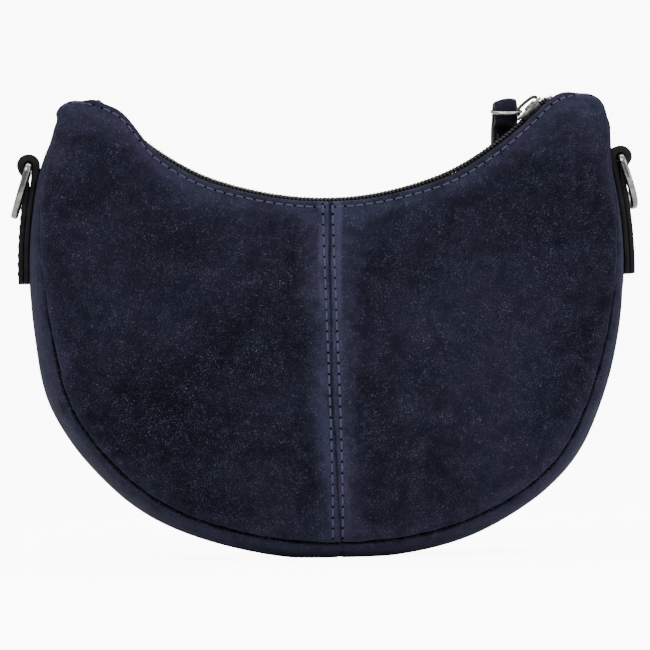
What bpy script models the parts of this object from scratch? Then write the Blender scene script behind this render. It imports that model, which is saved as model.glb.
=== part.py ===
"""Small half-moon crossbody bag in suede, with a zip along its hollow top edge.

Metres, +Z up, +X to the bag's right as its front is seen, the front towards -Y.
The origin is on the surface that the bag stands on, below the middle of the body.
"""
import math

import bmesh
import bpy
from mathutils import Matrix, Vector

# Body outline, seen from the front: the outermost line of the gusset
BODY_HALF_WIDTH = 0.1156
WIDEST_HEIGHT = 0.112
BOTTOM_FLAT_DEPTH = 0.0011
BOTTOM_FULLNESS = 2.3
HORN_CORNER_X = 0.1072
HORN_CORNER_HEIGHT = 0.1706
HORN_TIP_X = 0.1064
HORN_TIP_HEIGHT = 0.1742
HORN_RISE_X = 0.0935
HORN_SHOULDER_X = 0.1048
HORN_ARCH_HEIGHT = 0.1810
SIDE_LOWER_PULL = 0.022
SIDE_UPPER_PULL = 0.018
SIDE_LEAN = 0.004

# Depth of the body, front to back
GUSSET_HALF_WIDTH = 0.027
GUSSET_TIP_HALF_WIDTH = 0.0045
GUSSET_CROWN = 0.0065
GUSSET_TIP_CROWN = 0.0018
PANEL_BULGE = 0.011
MOUTH_HALF_WIDTH = 0.0085

# Material thicknesses and clearances
SUEDE_THICKNESS = 0.0016
LINING_THICKNESS = 0.0005
SEAM_GAP = 0.0003

# Zip: it follows one circular arc, with its centre above the bag
ZIP_ARC_RADIUS = 0.116
ZIP_ARC_CENTRE_HEIGHT = 0.2556
HEM_END_DEG = 50.6
TAPE_END_DEG = 49.6
CLOSED_SLIDER_DEG = 44.5
COIL_PITCH = 0.00152
ROW_TEETH = 130
COIL_HEIGHT = 0.0017
COIL_INNER_EDGE = 0.0010
COIL_OUTER_EDGE = 0.0027
TOOTH_REACH = 0.0007
TOOTH_ROOT_WIDTH = 0.00036
TOOTH_TIP_WIDTH = 0.00056
TAPE_THICKNESS = 0.00055
TAPE_INNER_EDGE = 0.0013
TAPE_SKIRT_DEPTH = 0.0080
TAPE_END_SKIRT_DEPTH = 0.0030
TAPE_FADE_DEG = 44.0
STOP_LENGTH = 0.0009
STOP_OVERHANG = 0.0002
STOP_SPREAD = 0.0007

# Slider, in its own directions: along the chain, across it and up from it
SLIDER_TAIL = 0.0062
SLIDER_NOSE = 0.0058
SLIDER_SHOULDER = 0.0012
PLATE_THICKNESS = 0.0009
CHANNEL_CLEARANCE = 0.00035
FLANGE_THICKNESS = 0.0007
POST_HALF_WIDTH = 0.0007
POST_START = 0.0016
POST_END = 0.0046
PLATE_CORNER = 0.0012
POST_SHOULDER_SHARE = 0.4
CROWN_START = -0.0018
CROWN_END = 0.0032
CROWN_HALF_WIDTH = 0.0013
CROWN_HEIGHT = 0.0009
CROWN_TAPER_SHARE = 0.25
BAIL_THICKNESS = 0.0009
BAIL_HALF_WIDTH = 0.0009
BAIL_HEIGHT = 0.0042
BAIL_TAIL = -0.0048
BAIL_NOSE = 0.0050
RING_SEAT_CLEARANCE = 0.00055

# Pull ring and pull tab
RING_RADIUS = 0.0058
RING_WIRE = 0.0012
RING_TILT_DEG = 10.0
TAB_THICKNESS = 0.0014
TAB_WIDTH = 0.0084
TAB_EYE_RADIUS = 0.0031
TAB_LENGTH = 0.029
TAB_JOIN_DEPTH = 0.0078
TAB_LEAVE = math.radians(30.0)
TAB_LEAN_DEG = 14.0
LAYER_SLIT = 0.0002

# Strap loops on the sides and their cast rings
LOOP_WIDTH = 0.016
LOOP_THICKNESS = 0.0019
LOOP_FOOT_HEIGHT = 0.108
LOOP_EYE_HEIGHT = 0.1525
LOOP_JOIN_DEPTH = 0.0125
RING_BAR_CLEARANCE = 0.00045
CAST_THICKNESS = 0.0027
CAST_FLAT = 0.0013
CAST_HALF_WIDTH = 0.0101
CAST_DROP = 0.0195
CAST_ARM = 0.0072
CAST_CORNER = 0.0024
CAST_HANG_DEG = 6.0
CAST_ROUNDING_POWER = 0.9

# Mesh fineness, in counts
ARC_STATIONS = 16
HORN_STATIONS = 4
LINING_STATIONS = 15
FINE_STEPS = 160
TAPE_STATIONS = 24
RING_STATIONS = 24
EYE_STATIONS = 8
EYE_OVERRUN_STATIONS = 2
LOOP_STATIONS = 5
LOOP_BLEND_STATIONS = 4
LOOP_LAP_STATIONS = 3
CAST_CORNER_STATIONS = 3
CAST_ARM_STATIONS = 6
WIRE_SIDES = 6

# Shares of the panel's height, from its mouth edge down to its seam
PANEL_ROW_SHARES = (0, 0.06, 0.18, 0.34, 0.52, 0.69, 0.83, 0.93, 1)
# Shares of the gusset's half width, from the front seam to the back seam
GUSSET_ROW_SHARES = (-1, -0.82, -0.5, 0, 0.5, 0.82, 1)
LINING_ROW_SHARES = PANEL_ROW_SHARES[2:]
ARC_SEAM_SHARE = 0.86
TAPER_START_SHARE = 0.35
CROWN_FADE_SHARES = (0.6, 0.92)
TAPER_POWER = 3.5
BULGE_RISE_POWER = 1.3
BULGE_FALL_POWER = 5
GUSSET_CROWN_POWER = 3

# Edges sharper than these, in degrees, are shaded as edges
SOFT_EDGE_DEG = 40.0
METAL_EDGE_DEG = 20.0

# Colours, as Principled BSDF base colours
SUEDE_NAVY = (0.022, 0.025, 0.048, 1)
STRAP_DARK = (0.012, 0.013, 0.021, 1)
LINING_GREY = (0.030, 0.031, 0.036, 1)
ZIP_BLACK = (0.008, 0.008, 0.010, 1)
NICKEL = (0.52, 0.51, 0.48, 1)
GUNMETAL = (0.30, 0.29, 0.27, 1)

FRONT = -1
BACK = 1
LEFT = -1
RIGHT = 1


def clear_scene():
    for item in list(bpy.data.objects):
        bpy.data.objects.remove(item, do_unlink=True)


def make_material(name, colour, roughness, metallic):
    material = bpy.data.materials.new(name)
    material.use_nodes = True
    shader = material.node_tree.nodes["Principled BSDF"]
    shader.inputs["Base Color"].default_value = colour
    shader.inputs["Roughness"].default_value = roughness
    shader.inputs["Metallic"].default_value = metallic
    return material


def add_object(name, mesh_data, material, smooth_deg=SOFT_EDGE_DEG, outward=True):
    """Turn a bmesh into a named object whose faces point outwards."""
    if outward:
        bmesh.ops.recalc_face_normals(mesh_data, faces=mesh_data.faces[:])
    mesh = bpy.data.meshes.new(name)
    mesh_data.to_mesh(mesh)
    mesh_data.free()
    mesh.materials.append(material)
    mesh.shade_smooth()
    mesh.set_sharp_from_angle(angle=math.radians(smooth_deg))
    item = bpy.data.objects.new(name, mesh)
    bpy.context.collection.objects.link(item)
    return item


# Curves in the plane of the front view


def ease(value, low, high):
    """Rise smoothly from 0 at low to 1 at high."""
    share = min(max((value - low) / (high - low), 0), 1)
    return share * share * (3 - 2 * share)


def mix(first, second, share):
    return first + (second - first) * share


def bezier(first, second, third, fourth, share):
    rest = 1 - share
    return (
        first * rest**3
        + second * (3 * rest**2 * share)
        + third * (3 * rest * share**2)
        + fourth * share**3
    )


def along(points, shares):
    """Points of a polyline at the given shares of its length."""
    reached = [0.0]
    for start, end in zip(points, points[1:]):
        reached.append(reached[-1] + (end - start).length)
    found = []
    for share in shares:
        target = share * reached[-1]
        step = 1
        while step < len(points) - 1 and reached[step] < target:
            step += 1
        span = reached[step] - reached[step - 1]
        found.append(points[step - 1].lerp(points[step], (target - reached[step - 1]) / span))
    return found


def crest_line():
    """The right half of the body's outline, from the bottom up to the horn's corner."""
    depth = WIDEST_HEIGHT + BOTTOM_FLAT_DEPTH
    power = 2 / BOTTOM_FULLNESS
    points = []
    for step in range(FINE_STEPS + 1):
        turn = math.pi / 2 * step / FINE_STEPS
        side = BODY_HALF_WIDTH * math.sin(turn) ** power
        drop = depth * max(math.cos(turn), 0) ** power
        points.append(Vector((side, 0, WIDEST_HEIGHT - drop)))
    widest = Vector((BODY_HALF_WIDTH, 0, WIDEST_HEIGHT))
    corner = Vector((HORN_CORNER_X, 0, HORN_CORNER_HEIGHT))
    lower_pull = widest + Vector((0, 0, SIDE_LOWER_PULL))
    upper_pull = corner + Vector((SIDE_LEAN, 0, -SIDE_UPPER_PULL))
    for step in range(1, FINE_STEPS + 1):
        points.append(bezier(widest, lower_pull, upper_pull, corner, step / FINE_STEPS))
    return points


CREST_LINE = crest_line()


def crest_at(share):
    """Outline point and outward direction at a share of the half outline's length."""
    step = 1 / FINE_STEPS
    low, high = max(share - step, 0), min(share + step, 1)
    before, point, after = along(CREST_LINE, (low, share, high))
    heading = (after - before).normalized()
    if share <= 0:
        heading = Vector((1, 0, 0))
    return point, Vector((heading.z, 0, -heading.x))


def gusset_half_width(share):
    """The gusset narrows towards the horn's corner."""
    narrowing = (max(share - TAPER_START_SHARE, 0) / (1 - TAPER_START_SHARE)) ** TAPER_POWER
    return mix(GUSSET_HALF_WIDTH, GUSSET_TIP_HALF_WIDTH, narrowing)


def gusset_crown(share):
    """How far the gusset stands out past its two seams."""
    return mix(GUSSET_CROWN, GUSSET_TIP_CROWN, ease(share, *CROWN_FADE_SHARES))


def arc_point(angle_deg, depth):
    """A point of the zip's arc, at a depth below the top of the coil."""
    angle = math.radians(angle_deg)
    radius = ZIP_ARC_RADIUS + depth
    return Vector((radius * math.sin(angle), 0, ZIP_ARC_CENTRE_HEIGHT - radius * math.cos(angle)))


def hem_depth():
    """The panels' turned top edge is level with the upper side of the zip tape."""
    return COIL_HEIGHT + SEAM_GAP + TAPE_THICKNESS


def mouth_line():
    """The right half of a panel's top edge, with the half width of the mouth at each point."""
    points, widths = [], []
    for step in range(ARC_STATIONS + 1):
        points.append(arc_point(HEM_END_DEG * step / ARC_STATIONS, hem_depth()))
        widths.append(MOUTH_HALF_WIDTH)
    closed_width = SUEDE_THICKNESS + SEAM_GAP / 2
    rise = Vector((HORN_RISE_X, 0, HORN_ARCH_HEIGHT))
    shoulder = Vector((HORN_SHOULDER_X, 0, HORN_ARCH_HEIGHT))
    tip = Vector((HORN_TIP_X, 0, HORN_TIP_HEIGHT))
    for step in range(1, HORN_STATIONS + 1):
        points.append(bezier(points[ARC_STATIONS], rise, shoulder, tip, step / HORN_STATIONS))
        widths.append(closed_width)
    return points, widths


def seam_shares():
    """Stations of the outline that match those of the mouth line."""
    arc = [ARC_SEAM_SHARE * step / ARC_STATIONS for step in range(ARC_STATIONS + 1)]
    horn = [mix(ARC_SEAM_SHARE, 1, (step + 1) / HORN_STATIONS) for step in range(HORN_STATIONS)]
    return arc + horn


SEAM_SHARES = seam_shares()


# Sewn shells


def plain_bulge(share):
    return share**BULGE_RISE_POWER * (1 - share**BULGE_FALL_POWER)


FULLEST_SHARE = (BULGE_RISE_POWER / (BULGE_RISE_POWER + BULGE_FALL_POWER)) ** (1 / BULGE_FALL_POWER)


def bulge(share):
    """Fullness of a panel from its mouth edge to its seam, 1 at the fullest."""
    return plain_bulge(share) / plain_bulge(FULLEST_SHARE)


def panel_surface(side, face, depth, rows, stations):
    """Grid of points of one half panel at a depth below its outer face."""
    mouth, widths = mouth_line()
    full_length = (mouth[0] - CREST_LINE[0]).length
    grid, seams = [], []
    for step in stations:
        outline, outward = crest_at(SEAM_SHARES[step])
        seam = outline - outward * gusset_crown(SEAM_SHARES[step])
        seam_width = gusset_half_width(SEAM_SHARES[step])
        fullness = PANEL_BULGE * (mouth[step] - seam).length / full_length
        column = []
        for row in rows:
            spot = mouth[step].lerp(seam, row)
            spot.y = mix(widths[step], seam_width, row) + fullness * bulge(row)
            column.append(spot)
        grid.append(column)
        seams.append((seam, seam_width, outward))
    inner = inset_grid(grid, depth) if depth else [list(column) for column in grid]
    for step, (seam, seam_width, outward) in enumerate(seams):
        if rows[-1] == 1:
            inner[step][-1] = seam_corner(seam, seam_width, outward, depth, FRONT)
        if rows[0] == 0:
            inner[step][0] = grid[step][0] - Vector((0, depth, 0))
    gap = Vector((SEAM_GAP / 2, 0, 0))
    for column in inner:
        if abs(column[0].x) < gap.x:
            for spot in column:
                spot.x = gap.x
    return [[Vector((spot.x * side, spot.y * face, spot.z)) for spot in column] for column in inner]


def seam_corner(seam, half_width, outward, depth, towards):
    """Point of a mitred seam edge: on the panel for FRONT, on the gusset for BACK."""
    across = Vector((0, 1, 0))
    mitre = (across - outward) * (SEAM_GAP / 2) * math.sqrt(0.5)
    point = seam + across * half_width - (across + outward) * depth
    return point - mitre * towards


def inset_grid(grid, depth):
    """Move a grid of points inwards, along the surface's own normals."""
    last_column, last_row = len(grid) - 1, len(grid[0]) - 1
    moved = []
    for i, column in enumerate(grid):
        fresh = []
        for j, spot in enumerate(column):
            run = grid[min(i + 1, last_column)][j] - grid[max(i - 1, 0)][j]
            fall = column[min(j + 1, last_row)] - column[max(j - 1, 0)]
            normal = run.cross(fall).normalized()
            if i == 0:
                normal.x = 0
                normal.normalize()
            fresh.append(spot - normal * depth)
        moved.append(fresh)
    return moved


def shell_between(name, outer, inner, material):
    """A closed solid between two grids of points, such as a piece of leather."""
    data = bmesh.new()
    skins = []
    for grid in (outer, inner):
        skins.append([[data.verts.new(spot) for spot in column] for column in grid])
    columns, rows = len(outer), len(outer[0])
    for skin in skins:
        for i in range(columns - 1):
            for j in range(rows - 1):
                data.faces.new((skin[i][j], skin[i + 1][j], skin[i + 1][j + 1], skin[i][j + 1]))
    edge = [(i, 0) for i in range(columns)]
    edge += [(columns - 1, j) for j in range(1, rows)]
    edge += [(i, rows - 1) for i in reversed(range(columns - 1))]
    edge += [(0, j) for j in reversed(range(1, rows - 1))]
    for (i, j), (k, m) in zip(edge, edge[1:] + edge[:1]):
        data.faces.new((skins[0][i][j], skins[0][k][m], skins[1][k][m], skins[1][i][j]))
    return add_object(name, data, material)


def make_panel(name, side, face, material):
    """Half of the front or the back, from the centre seam to the horn."""
    stations = range(len(SEAM_SHARES))
    outer = panel_surface(side, face, 0, PANEL_ROW_SHARES, stations)
    inner = panel_surface(side, face, SUEDE_THICKNESS, PANEL_ROW_SHARES, stations)
    return shell_between(name, outer, inner, material)


def gusset_surface(side, depth, shares, stations):
    """Grid of points of one half gusset at a depth below its outer face."""
    grid = []
    for step in stations:
        outline, outward = crest_at(SEAM_SHARES[step])
        crown = gusset_crown(SEAM_SHARES[step])
        half_width = gusset_half_width(SEAM_SHARES[step])
        seam = outline - outward * crown
        column = []
        for share in shares:
            rise = crown * (1 - abs(share) ** GUSSET_CROWN_POWER)
            spot = seam + outward * (rise - depth)
            spot.y = (half_width - depth) * share
            if abs(share) == 1:
                corner = seam_corner(seam, half_width, outward, depth, BACK)
                spot = Vector((corner.x, corner.y * share, corner.z))
            if depth == 0:
                spot.z = max(spot.z, 0)
            spot.x = max(spot.x, SEAM_GAP / 2)
            column.append(Vector((spot.x * side, spot.y, spot.z)))
        grid.append(column)
    return grid


def make_gusset(name, side, material):
    """Half of the strip round the bottom and side."""
    stations = range(len(SEAM_SHARES))
    outer = gusset_surface(side, 0, GUSSET_ROW_SHARES, stations)
    inner = gusset_surface(side, SUEDE_THICKNESS, GUSSET_ROW_SHARES, stations)
    return shell_between(name, outer, inner, material)


def joined_halves(half):
    """A grid over both halves of the bag, from the grid of the right half."""
    left = [[Vector((-spot.x, spot.y, spot.z)) for spot in column] for column in reversed(half[1:])]
    middle = [Vector((0, spot.y, spot.z)) for spot in half[0]]
    return left + [middle] + half[1:]


def make_panel_lining(name, face, material):
    upper = SUEDE_THICKNESS + SEAM_GAP
    lower = upper + LINING_THICKNESS
    skins = []
    for depth in (upper, lower):
        half = panel_surface(RIGHT, face, depth, LINING_ROW_SHARES, range(LINING_STATIONS))
        skins.append(joined_halves(half))
    return shell_between(name, *skins, material)


def make_gusset_lining(name, material):
    upper = SUEDE_THICKNESS + SEAM_GAP
    lower = upper + LINING_THICKNESS
    skins = []
    for depth in (upper, lower):
        half = gusset_surface(RIGHT, depth, GUSSET_ROW_SHARES, range(LINING_STATIONS))
        skins.append(joined_halves(half))
    return shell_between(name, *skins, material)


# Swept pieces: bent straps, wire and cast rings


def sweep(name, path, normal, section, material, closed=False):
    """Carry a section along a flat path; the section is (in the plane, across the plane)."""
    data = bmesh.new()
    count = len(path)
    rings = []
    for step, spot in enumerate(path):
        before = path[(step - 1) % count] if closed or step else spot
        after = path[(step + 1) % count] if closed or step < count - 1 else spot
        into, out_of = (spot - before), (after - spot)
        heading = (into.normalized() + out_of.normalized()).normalized()
        sideways = normal.cross(heading)
        widen = 1
        if into.length and out_of.length:
            widen = 1 / max(into.normalized().dot(heading), 0.5)
        rings.append(
            [data.verts.new(spot + sideways * (flat * widen) + normal * deep) for flat, deep in section]
        )
    sides = len(section)
    last = count if closed else count - 1
    for step in range(last):
        here, there = rings[step], rings[(step + 1) % count]
        for k in range(sides):
            m = (k + 1) % sides
            data.faces.new((here[k], here[m], there[m], there[k]))
    if not closed:
        data.faces.new(rings[0])
        data.faces.new(rings[-1])
    return add_object(name, data, material)


def strap_section(thickness, width):
    half, reach = thickness / 2, width / 2
    return [(-half, -reach), (half, -reach), (half, reach), (-half, reach)]


def round_section(diameter, sides):
    turns = [2 * math.pi * (k + 0.5) / sides for k in range(sides)]
    return [(diameter / 2 * math.cos(turn), diameter / 2 * math.sin(turn)) for turn in turns]


def cast_section(thickness, flat):
    """An eight-sided section with a flat on each side."""
    half, edge = thickness / 2, flat / 2
    return [
        (half, -edge), (half, edge), (edge, half), (-edge, half),
        (-half, edge), (-half, -edge), (-edge, -half), (edge, -half),
    ]


# Zip


PITCH_DEG = math.degrees(COIL_PITCH / ZIP_ARC_RADIUS)
CHAIN_END_DEG = PITCH_DEG * (ROW_TEETH + 0.5) / 2


def chain_parting(angle_deg):
    """How far a coil row stands aside to pass the slider's post, when the zip is closed."""
    start = CLOSED_SLIDER_DEG - math.degrees(SLIDER_SHOULDER / ZIP_ARC_RADIUS)
    end = CLOSED_SLIDER_DEG + math.degrees(POST_START / ZIP_ARC_RADIUS)
    aside = TOOTH_REACH + POST_HALF_WIDTH + SEAM_GAP
    return aside * ease(angle_deg, start, end)


def make_coil(name, face, material):
    """One coil row: a band with teeth that lock between those of the other row."""
    root = math.degrees(TOOTH_ROOT_WIDTH / ZIP_ARC_RADIUS)
    tip = math.degrees(TOOTH_TIP_WIDTH / ZIP_ARC_RADIUS)
    first_deg = -CHAIN_END_DEG + (PITCH_DEG / 2 if face == BACK else 0)
    inner, outer = [], []
    for step in range(ROW_TEETH):
        middle = first_deg + PITCH_DEG * (step + 0.5)
        inner.append((middle - root / 2, COIL_INNER_EDGE))
        inner.append((middle - tip / 2, -TOOTH_REACH))
        inner.append((middle + tip / 2, -TOOTH_REACH))
        inner.append((middle + root / 2, COIL_INNER_EDGE))
        if step % 2 == 0:
            outer.append((middle - PITCH_DEG / 2, COIL_OUTER_EDGE))
    end_deg = first_deg + PITCH_DEG * ROW_TEETH
    outer.append((end_deg, COIL_OUTER_EDGE))
    inner = [(first_deg, COIL_INNER_EDGE)] + inner + [(end_deg, COIL_INNER_EDGE)]

    data = bmesh.new()
    skins = []
    for depth in (0, COIL_HEIGHT):
        edges = []
        for edge in (inner, outer):
            spots = [(arc_point(angle, depth), across + chain_parting(angle)) for angle, across in edge]
            edges.append([data.verts.new((spot.x, face * across, spot.z)) for spot, across in spots])
        skins.append(edges)
    for near, far in skins:
        for step in range(len(far) - 1):
            last = len(near) if step + 2 == len(far) else 8 * step + 9
            data.faces.new([far[step + 1], far[step]] + near[8 * step:last])
    for top, bottom in zip(*skins):
        for here in range(len(top) - 1):
            data.faces.new((top[here], top[here + 1], bottom[here + 1], bottom[here]))
    (top_inner, top_outer), (low_inner, low_outer) = skins
    for end in (0, -1):
        data.faces.new((top_inner[end], top_outer[end], low_outer[end], low_inner[end]))
    return add_object(name, data, material)


def make_tape(name, face, material):
    """A zip tape: flat under its coil row, then turned down inside the panel's hem."""
    top = COIL_HEIGHT + SEAM_GAP
    under = top + TAPE_THICKNESS
    skirt = MOUTH_HALF_WIDTH - SUEDE_THICKNESS - SEAM_GAP
    outer, inner = [], []
    for step in range(TAPE_STATIONS + 1):
        angle = TAPE_END_DEG * (2 * step / TAPE_STATIONS - 1)
        edge = TAPE_INNER_EDGE + chain_parting(angle)
        fade = ease(abs(angle), TAPE_FADE_DEG, TAPE_END_DEG)
        foot = top + mix(TAPE_SKIRT_DEPTH, TAPE_END_SKIRT_DEPTH, fade)
        upper = [(edge, top), (skirt, top), (skirt, foot)]
        lower = [(edge, under), (skirt - TAPE_THICKNESS, under), (skirt - TAPE_THICKNESS, foot)]
        for grid, line in ((outer, upper), (inner, lower)):
            column = []
            for across, depth in line:
                spot = arc_point(angle, depth)
                column.append(Vector((spot.x, face * across, spot.z)))
            grid.append(column)
    return shell_between(name, outer, inner, material)


def arc_block(name, start_deg, end_deg, near, far, face, material):
    """A small clip across the chain, between two angles of the zip's arc."""
    data = bmesh.new()
    corners = []
    for angle in (start_deg, end_deg):
        for depth in (-STOP_OVERHANG, COIL_HEIGHT):
            spot = arc_point(angle, depth)
            corners.append([data.verts.new((spot.x, face * across, spot.z)) for across in (near, far)])
    low, high, low_end, high_end = corners
    data.faces.new((low[0], low[1], high[1], high[0]))
    data.faces.new((low_end[0], low_end[1], high_end[1], high_end[0]))
    data.faces.new((low[0], low[1], low_end[1], low_end[0]))
    data.faces.new((high[0], high[1], high_end[1], high_end[0]))
    data.faces.new((low[0], high[0], high_end[0], low_end[0]))
    data.faces.new((low[1], high[1], high_end[1], low_end[1]))
    return add_object(name, data, material)


def stop_angles():
    """Where the stops start and end, seen from the middle of the zip."""
    start = CHAIN_END_DEG + math.degrees(SEAM_GAP / ZIP_ARC_RADIUS)
    return start, start + math.degrees(STOP_LENGTH / ZIP_ARC_RADIUS)


# Slider


SLIDER_SEAT = arc_point(CLOSED_SLIDER_DEG, 0)
SLIDER_ALONG = Vector(
    (math.cos(math.radians(CLOSED_SLIDER_DEG)), 0, math.sin(math.radians(CLOSED_SLIDER_DEG)))
)
SLIDER_UP = Vector((-SLIDER_ALONG.z, 0, SLIDER_ALONG.x))


def on_slider(along_chain, across, up):
    """A point in the slider's own directions."""
    return SLIDER_SEAT + SLIDER_ALONG * along_chain + Vector((0, across, 0)) + SLIDER_UP * up


def channel_half_widths():
    """Half width of the slider's channel at its tail and at its shoulder."""
    tail = COIL_OUTER_EDGE + CHANNEL_CLEARANCE
    return tail, tail + TOOTH_REACH + POST_HALF_WIDTH + SEAM_GAP


def plate_outline():
    """Shield shape of the slider's plates, one side, from the tail to the nose."""
    tail, shoulder = (half + FLANGE_THICKNESS for half in channel_half_widths())
    return [
        (-SLIDER_TAIL, tail - PLATE_CORNER),
        (-SLIDER_TAIL + PLATE_CORNER, tail),
        (-SLIDER_SHOULDER - PLATE_CORNER, tail),
        (SLIDER_SHOULDER, shoulder),
        (SLIDER_NOSE - 2 * PLATE_CORNER, shoulder),
        (SLIDER_NOSE, shoulder - 2 * PLATE_CORNER),
    ]


def mirrored(outline):
    return outline + [(along_chain, -across) for along_chain, across in reversed(outline)]


def prism(name, outline, levels, material):
    """A solid through copies of an outline, each at a height and drawn in by an inset."""
    data = bmesh.new()
    count = len(outline)
    middle_x = sum(spot[0] for spot in outline) / count
    middle_y = sum(spot[1] for spot in outline) / count
    reach = max(abs(spot[1] - middle_y) for spot in outline)
    rings = []
    for height, inset in levels:
        shrink = 1 - inset / reach
        ring = []
        for spot in outline:
            along_chain = mix(middle_x, spot[0], shrink)
            ring.append(data.verts.new(on_slider(along_chain, mix(middle_y, spot[1], shrink), height)))
        rings.append(ring)
    for here, there in zip(rings, rings[1:]):
        for k in range(count):
            m = (k + 1) % count
            data.faces.new((here[k], here[m], there[m], there[k]))
    data.faces.new(rings[0])
    data.faces.new(rings[-1])
    return add_object(name, data, material, smooth_deg=METAL_EDGE_DEG)


def unite(base, tool):
    """Join a guide solid to a piece with a Boolean union."""
    tool.hide_render = True
    tool.display_type = "WIRE"
    union = base.modifiers.new("join " + tool.name, "BOOLEAN")
    union.operation = "UNION"
    union.solver = "EXACT"
    union.object = tool


def plate_top():
    return CHANNEL_CLEARANCE + PLATE_THICKNESS


def make_slider_body(material):
    """Two plates joined by the post that parts the chain, with a flange down each side."""
    tail, shoulder = channel_half_widths()
    chamfer = PLATE_THICKNESS / 3
    outline = mirrored(plate_outline())
    levels = [(CHANNEL_CLEARANCE, 0), (plate_top() - chamfer, 0), (plate_top(), chamfer)]
    body = prism("slider_body", outline, levels, material)

    tape_under = COIL_HEIGHT + SEAM_GAP + TAPE_THICKNESS
    floor_top = -tape_under - CHANNEL_CLEARANCE
    levels = [
        (floor_top - PLATE_THICKNESS, chamfer),
        (floor_top - PLATE_THICKNESS + chamfer, 0),
        (floor_top, 0),
    ]
    unite(body, prism("lower_plate_guide", outline, levels, material))

    post = [
        (POST_START, 0),
        (mix(POST_START, POST_END, POST_SHOULDER_SHARE), POST_HALF_WIDTH),
        (POST_END, POST_HALF_WIDTH / 2),
        (POST_END, -POST_HALF_WIDTH / 2),
        (mix(POST_START, POST_END, POST_SHOULDER_SHARE), -POST_HALF_WIDTH),
    ]
    bite = PLATE_THICKNESS / 2
    levels = [(floor_top - bite, 0), (CHANNEL_CLEARANCE + bite, 0)]
    unite(body, prism("post_guide", post, levels, material))

    sunk = FLANGE_THICKNESS / 4
    for face, label in ((FRONT, "front"), (BACK, "back")):
        flange = [
            (-SLIDER_TAIL + PLATE_CORNER, tail),
            (-SLIDER_SHOULDER - PLATE_CORNER, tail),
            (SLIDER_SHOULDER, shoulder),
            (SLIDER_NOSE - 2 * PLATE_CORNER, shoulder),
            (SLIDER_NOSE - 2 * PLATE_CORNER, shoulder + FLANGE_THICKNESS - sunk),
            (SLIDER_SHOULDER, shoulder + FLANGE_THICKNESS - sunk),
            (-SLIDER_SHOULDER - PLATE_CORNER, tail + FLANGE_THICKNESS - sunk),
            (-SLIDER_TAIL + PLATE_CORNER, tail + FLANGE_THICKNESS - sunk),
        ]
        flange = [(along_chain, face * across) for along_chain, across in flange]
        levels = [(-COIL_HEIGHT, 0), (CHANNEL_CLEARANCE + bite, 0)]
        unite(body, prism(label + "_flange_guide", flange, levels, material))

    crown = mirrored([
        (CROWN_START, CROWN_HALF_WIDTH / 2),
        (mix(CROWN_START, CROWN_END, CROWN_TAPER_SHARE), CROWN_HALF_WIDTH),
        (mix(CROWN_END, CROWN_START, CROWN_TAPER_SHARE), CROWN_HALF_WIDTH),
        (CROWN_END, CROWN_HALF_WIDTH / 2),
    ])
    crown_top = plate_top() + CROWN_HEIGHT
    levels = [(plate_top() - bite, 0), (crown_top - chamfer, 0), (crown_top, chamfer)]
    unite(body, prism("crown_guide", crown, levels, material))
    return body


# Points of the bail's middle line: shares of its length from the tail, and of its height
BAIL_SHARES = (
    (0, 0), (0, 0.55), (0.04, 0.82), (0.13, 1), (0.45, 0.98), (0.76, 0.83), (0.94, 0.5), (1, 0)
)


def make_slider_bail(material):
    """The arched strip over the slider that holds the pull ring."""
    foot = plate_top() + SEAM_GAP
    top = BAIL_HEIGHT - BAIL_THICKNESS / 2
    path = []
    for length_share, height_share in BAIL_SHARES:
        path.append(on_slider(mix(BAIL_TAIL, BAIL_NOSE, length_share), 0, mix(foot, top, height_share)))
    section = strap_section(BAIL_THICKNESS, 2 * BAIL_HALF_WIDTH)
    return sweep("slider_bail", path, Vector((0, 1, 0)), section, material)


def ring_hinge():
    """Middle of the pull ring's wire where it passes under the bail."""
    along_chain = BAIL_TAIL + BAIL_THICKNESS / 2 + RING_SEAT_CLEARANCE + RING_WIRE / 2
    up = (plate_top() + BAIL_HEIGHT - BAIL_THICKNESS) / 2
    return on_slider(along_chain, 0, up)


def tab_axis():
    """Middle of the wire at the back of the ring, where the pull tab hangs."""
    tilt = math.radians(RING_TILT_DEG)
    offset = Vector((-RING_RADIUS, RING_RADIUS * math.cos(tilt), RING_RADIUS * math.sin(tilt)))
    return ring_hinge() + offset


def make_pull_ring(material):
    tilt = math.radians(RING_TILT_DEG)
    middle = ring_hinge() - Vector((RING_RADIUS, 0, 0))
    path = []
    for step in range(RING_STATIONS):
        turn = 2 * math.pi * step / RING_STATIONS
        across = RING_RADIUS * math.sin(turn)
        side = RING_RADIUS * math.cos(turn)
        path.append(middle + Vector((side, across * math.cos(tilt), across * math.sin(tilt))))
    normal = Vector((0, -math.sin(tilt), math.cos(tilt)))
    section = round_section(RING_WIRE, WIRE_SIDES)
    return sweep("pull_ring", path, normal, section, material, closed=True)


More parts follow.
